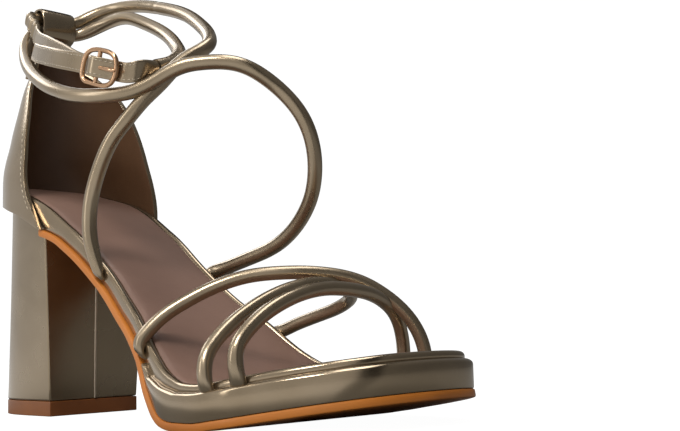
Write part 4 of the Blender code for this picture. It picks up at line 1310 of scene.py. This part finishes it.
# Billet: the flattened, edge-stitched end of the ankle strap. It runs under
# the side bars, over the centre bar, and ends in a slanted tip on top.
FLAT_STRAP_WIDTH = 0.0074
FLAT_STRAP_THICKNESS = 0.0013
BUCKLE_LENGTH = 0.0192
BUCKLE_WIDTH = 0.0140
BUCKLE_WIRE = 0.0018
PRONG_WIRE = 0.0014
BUCKLE_CENTRE_BAR = 0.45
EDGE_STITCH_INSET = 0.0011
EDGE_STITCH_PITCH = 0.0019
buckle_start = over(-0.778, 0.396, 0.972)
buckle_u = (over(-0.699, 0.486, 1.080) - buckle_start).normalized()
buckle_v = square_to(Vector((-1, 0, 0)), buckle_u)
buckle_w = buckle_u.cross(buckle_v)


def at_buckle(u_place, v_place, w_place=0.0):
    return buckle_start + buckle_u * u_place + buckle_v * v_place + buckle_w * w_place


def flat_row(place, widen=1.0):
    """Row of a flattened strap; widen 0 is the round cord that it grows out of."""
    cord = KEPT_CORD_DIAMETER / 2
    half_width = cord + widen * (FLAT_STRAP_WIDTH / 2 - cord)
    half_thickness = cord + widen * (FLAT_STRAP_THICKNESS / 2 - cord)
    return (*place, half_width, half_thickness, ROUND + widen * (FLAT - ROUND))


def edge_stitches(name, rows, first, last):
    """Stitch a flat strap along its edges, on both its faces, from first to last reach."""
    spots = []
    for side, face in ((-1, -1), (-1, 1), (1, -1), (1, 1)):
        line = []
        for centre, _, across, thick, half_width, half_thickness, _, reach in rows:
            if first <= reach <= last:
                beside = across * (side * (half_width - EDGE_STITCH_INSET))
                line.append((centre + beside + thick * (0.93 * half_thickness * face), thick * face))
        spots += even_spots(line, EDGE_STITCH_PITCH)
    stitched(name, spots, 0.0015, 0.00020, thread_gold)


long = BUCKLE_LENGTH - BUCKLE_WIRE
bar = BUCKLE_CENTRE_BAR * long
under = (BUCKLE_WIRE + FLAT_STRAP_THICKNESS) / 2 + CLEARANCE
crown = under + FLAT_STRAP_THICKNESS + 1.4 * CLEARANCE
billet_path = [
    flat_row(over(-0.376, 0.4935, 1.146), 0.0),
    flat_row(over(-0.450, 0.496, 1.137), 0.5),
    flat_row(over(-0.545, 0.498, 1.122), 1.0),
]
for u, v in (
    (long + 0.0040, -under - 0.0006),
    (long + 0.0008, -under - 0.0003),
    (long - 0.0012, -under - 0.0001),
    (long - 0.0028, -0.95 * under),
    (bar + 0.0056, -0.62 * under),
    (bar + 0.0046, -0.10 * under),
    (bar + 0.0038, 0.24 * crown),
    (bar + 0.0030, 0.55 * crown),
    (bar + 0.0016, 0.88 * crown),
    (bar, crown),
    (bar - 0.0016, 0.88 * crown),
    (bar - 0.0029, 0.55 * crown),
    (0.0032, -0.35 * under),
    (0.0017, -0.85 * under),
    (0.0, -under - 0.0002),
    (-0.0045, -under - 0.0003),
):
    billet_path.append(flat_row(at_buckle(u, v)))
for place in (
    (-0.747, 0.303, 0.859),
    (-0.687, 0.244, 0.812),
    (-0.614, 0.196, 0.789),
    (-0.565, 0.170, 0.790),
):
    billet_path.append(flat_row(over(*place)))
billet_rows = strap_rows(billet_path, 0.0007, tuple(buckle_w))
billet = strap_skin("billet_strap", billet_rows, 28, slant=0.35)
billet = softened(billet, 0.00025, 2, 60)
billet.data.materials.append(strap_film)
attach(billet, "root")
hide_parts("billet")
edge_stitches("billet_stitches", billet_rows, 0.008, billet_rows[-1][7] - 0.0016)

# Buckle strap: the doubled strap that carries the buckle. It comes out of the
# keeper, crumples behind the billet and folds round the centre bar.
PRONG_NOTCH = (0.0062, 0.0064, PRONG_WIRE + 2.4 * CLEARANCE)
# Its crumple: the middle and reach of it, its depth, and its two wave lengths
CRUMPLE_MIDDLE = 0.017
CRUMPLE_REACH = 0.008
CRUMPLE_DEPTH = 0.00075
CRUMPLE_WAVES = (0.00062, 0.0019)
below = under + FLAT_STRAP_THICKNESS + 2.5 * CLEARANCE
carrier_path = []
for across, widen in ((-0.78, 0.0), (-0.95, 0.0), (-1.10, 0.0), (-1.28, 0.15)):
    place = Vector((across * KEEPER_WIDTH / 2, 0, KEPT_CORD_DIAMETER / 2 + CLEARANCE))
    carrier_path.append(flat_row(keeper_centre + place, widen))
carrier_path.append(flat_row(over(-0.372, 0.112, 0.925), 0.7))
for place in ((-0.470, 0.153, 0.862), (-0.590, 0.222, 0.857), (-0.655, 0.290, 0.885)):
    carrier_path.append(flat_row(over(*place)))
for u, v in (
    (-0.0045, -below - 0.0002),
    (0.0, -below - 0.0001),
    (bar - 0.0040, -0.85 * below),
    (bar - 0.0016, -under),
):
    carrier_path.append(flat_row(at_buckle(u, v)))
for angle in (-90, -55, -20, 15, 50, 85, 120, 150):
    place = at_buckle(bar + under * cos(radians(angle)), under * sin(radians(angle)))
    carrier_path.append(flat_row(place))
carrier_rows = strap_rows(carrier_path, 0.0007, tuple(buckle_w))
for row in carrier_rows:
    waves = sin(row[7] / CRUMPLE_WAVES[0]) * sin(row[7] / CRUMPLE_WAVES[1])
    row[0] += row[3] * (CRUMPLE_DEPTH * bell(row[7], CRUMPLE_MIDDLE, CRUMPLE_REACH) * waves)
carrier = strap_skin("buckle_strap_folded", carrier_rows, 28)
carrier.data.materials.append(strap_film)
bpy.ops.mesh.primitive_cube_add(size=1.0)
notch = bpy.context.object
notch.matrix_world = (
    Matrix.Translation(at_buckle(bar - 0.0001, 0.0003))
    @ Matrix((buckle_u, buckle_v, buckle_w)).transposed().to_4x4()
    @ Matrix.Diagonal((*PRONG_NOTCH, 1.0))
)
bpy.ops.object.select_all(action="DESELECT")
bpy.context.view_layer.objects.active = carrier
cut = carrier.modifiers.new("prong_notch", "BOOLEAN")
cut.object = notch
cut.operation = "DIFFERENCE"
bpy.ops.object.modifier_apply(modifier="prong_notch")
bpy.data.objects.remove(notch, do_unlink=True)
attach(carrier, "root")
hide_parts("buckle_strap")
edge_stitches("buckle_strap_stitches", carrier_rows, 0.012, carrier_rows[-1][7] - 0.012)

# Buckle: a cast frame with a centre bar, plated in polished rose gold, and a
# wire prong that hooks round the bar and lies on the far side bar.
FRAME_CORNER = 0.0030
buckle_plate = metallic_patent(
    "rose_gold_plate", light=(0.60, 0.37, 0.22), deep=(0.50, 0.29, 0.16),
    grain_scale=1600.0, roughness=(0.14, 0.22), bump=0.03,
)
frame_half = (BUCKLE_WIDTH - BUCKLE_WIRE) / 2
frame_path = []
for u, w, start in (
    (FRAME_CORNER, frame_half - FRAME_CORNER, 90),
    (FRAME_CORNER, FRAME_CORNER - frame_half, 180),
    (long - FRAME_CORNER, FRAME_CORNER - frame_half, 270),
    (long - FRAME_CORNER, frame_half - FRAME_CORNER, 0),
):
    for step in range(7):
        angle = radians(start + 15 * step)
        place = at_buckle(u + FRAME_CORNER * cos(angle), 0.0, w + FRAME_CORNER * sin(angle))
        frame_path.append(round_row(place, BUCKLE_WIRE / 2, 0.85))
frame_path.append(frame_path[0])
frame_rows = strap_rows(frame_path, 0.001, tuple(buckle_v))
first_way = (frame_rows[1][0] - frame_rows[-2][0]).normalized()
for index in (0, -1):
    across = square_to(buckle_v, first_way)
    frame_rows[index][1:4] = [first_way, across, first_way.cross(across)]
cast_frame = strap_skin("buckle_frame_cast", frame_rows, 16)
bar_rows = []
for share in (-1.0, -0.5, 0.0, 0.5, 1.0):
    bar_rows.append(round_row(at_buckle(bar, 0.0, share * frame_half), 0.95 * BUCKLE_WIRE / 2))
centre_bar = strap_skin("centre_bar", strap_rows(bar_rows, 0.001, tuple(buckle_v)), 16)
buckle = joined("buckle_frame_cast", (cast_frame, centre_bar))
buckle.data.materials.append(buckle_plate)
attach(buckle, "root")
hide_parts("buckle_frame")

turn_radius = (BUCKLE_WIRE + PRONG_WIRE) / 2 + CLEARANCE
prong_path = []
for angle in range(290, 80, -20):
    place = at_buckle(bar + turn_radius * cos(radians(angle)), turn_radius * sin(radians(angle)))
    prong_path.append(round_row(place, PRONG_WIRE / 2))
for u, v, share in (
    (bar + 0.0004, turn_radius, 1.0),
    (0.5 * (bar + long), turn_radius, 1.0),
    (long, turn_radius, 0.95),
    (long + 0.0009, turn_radius - 0.0001, 0.8),
    (long + 0.0012, turn_radius - 0.0002, 0.45),
):
    prong_path.append(round_row(at_buckle(u, v), share * PRONG_WIRE / 2))
prong = strap_skin("buckle_prong_wire", strap_rows(prong_path, 0.0005, tuple(buckle_w)), 16)
prong.data.materials.append(buckle_plate)
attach(prong, "root")
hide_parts("buckle_prong")
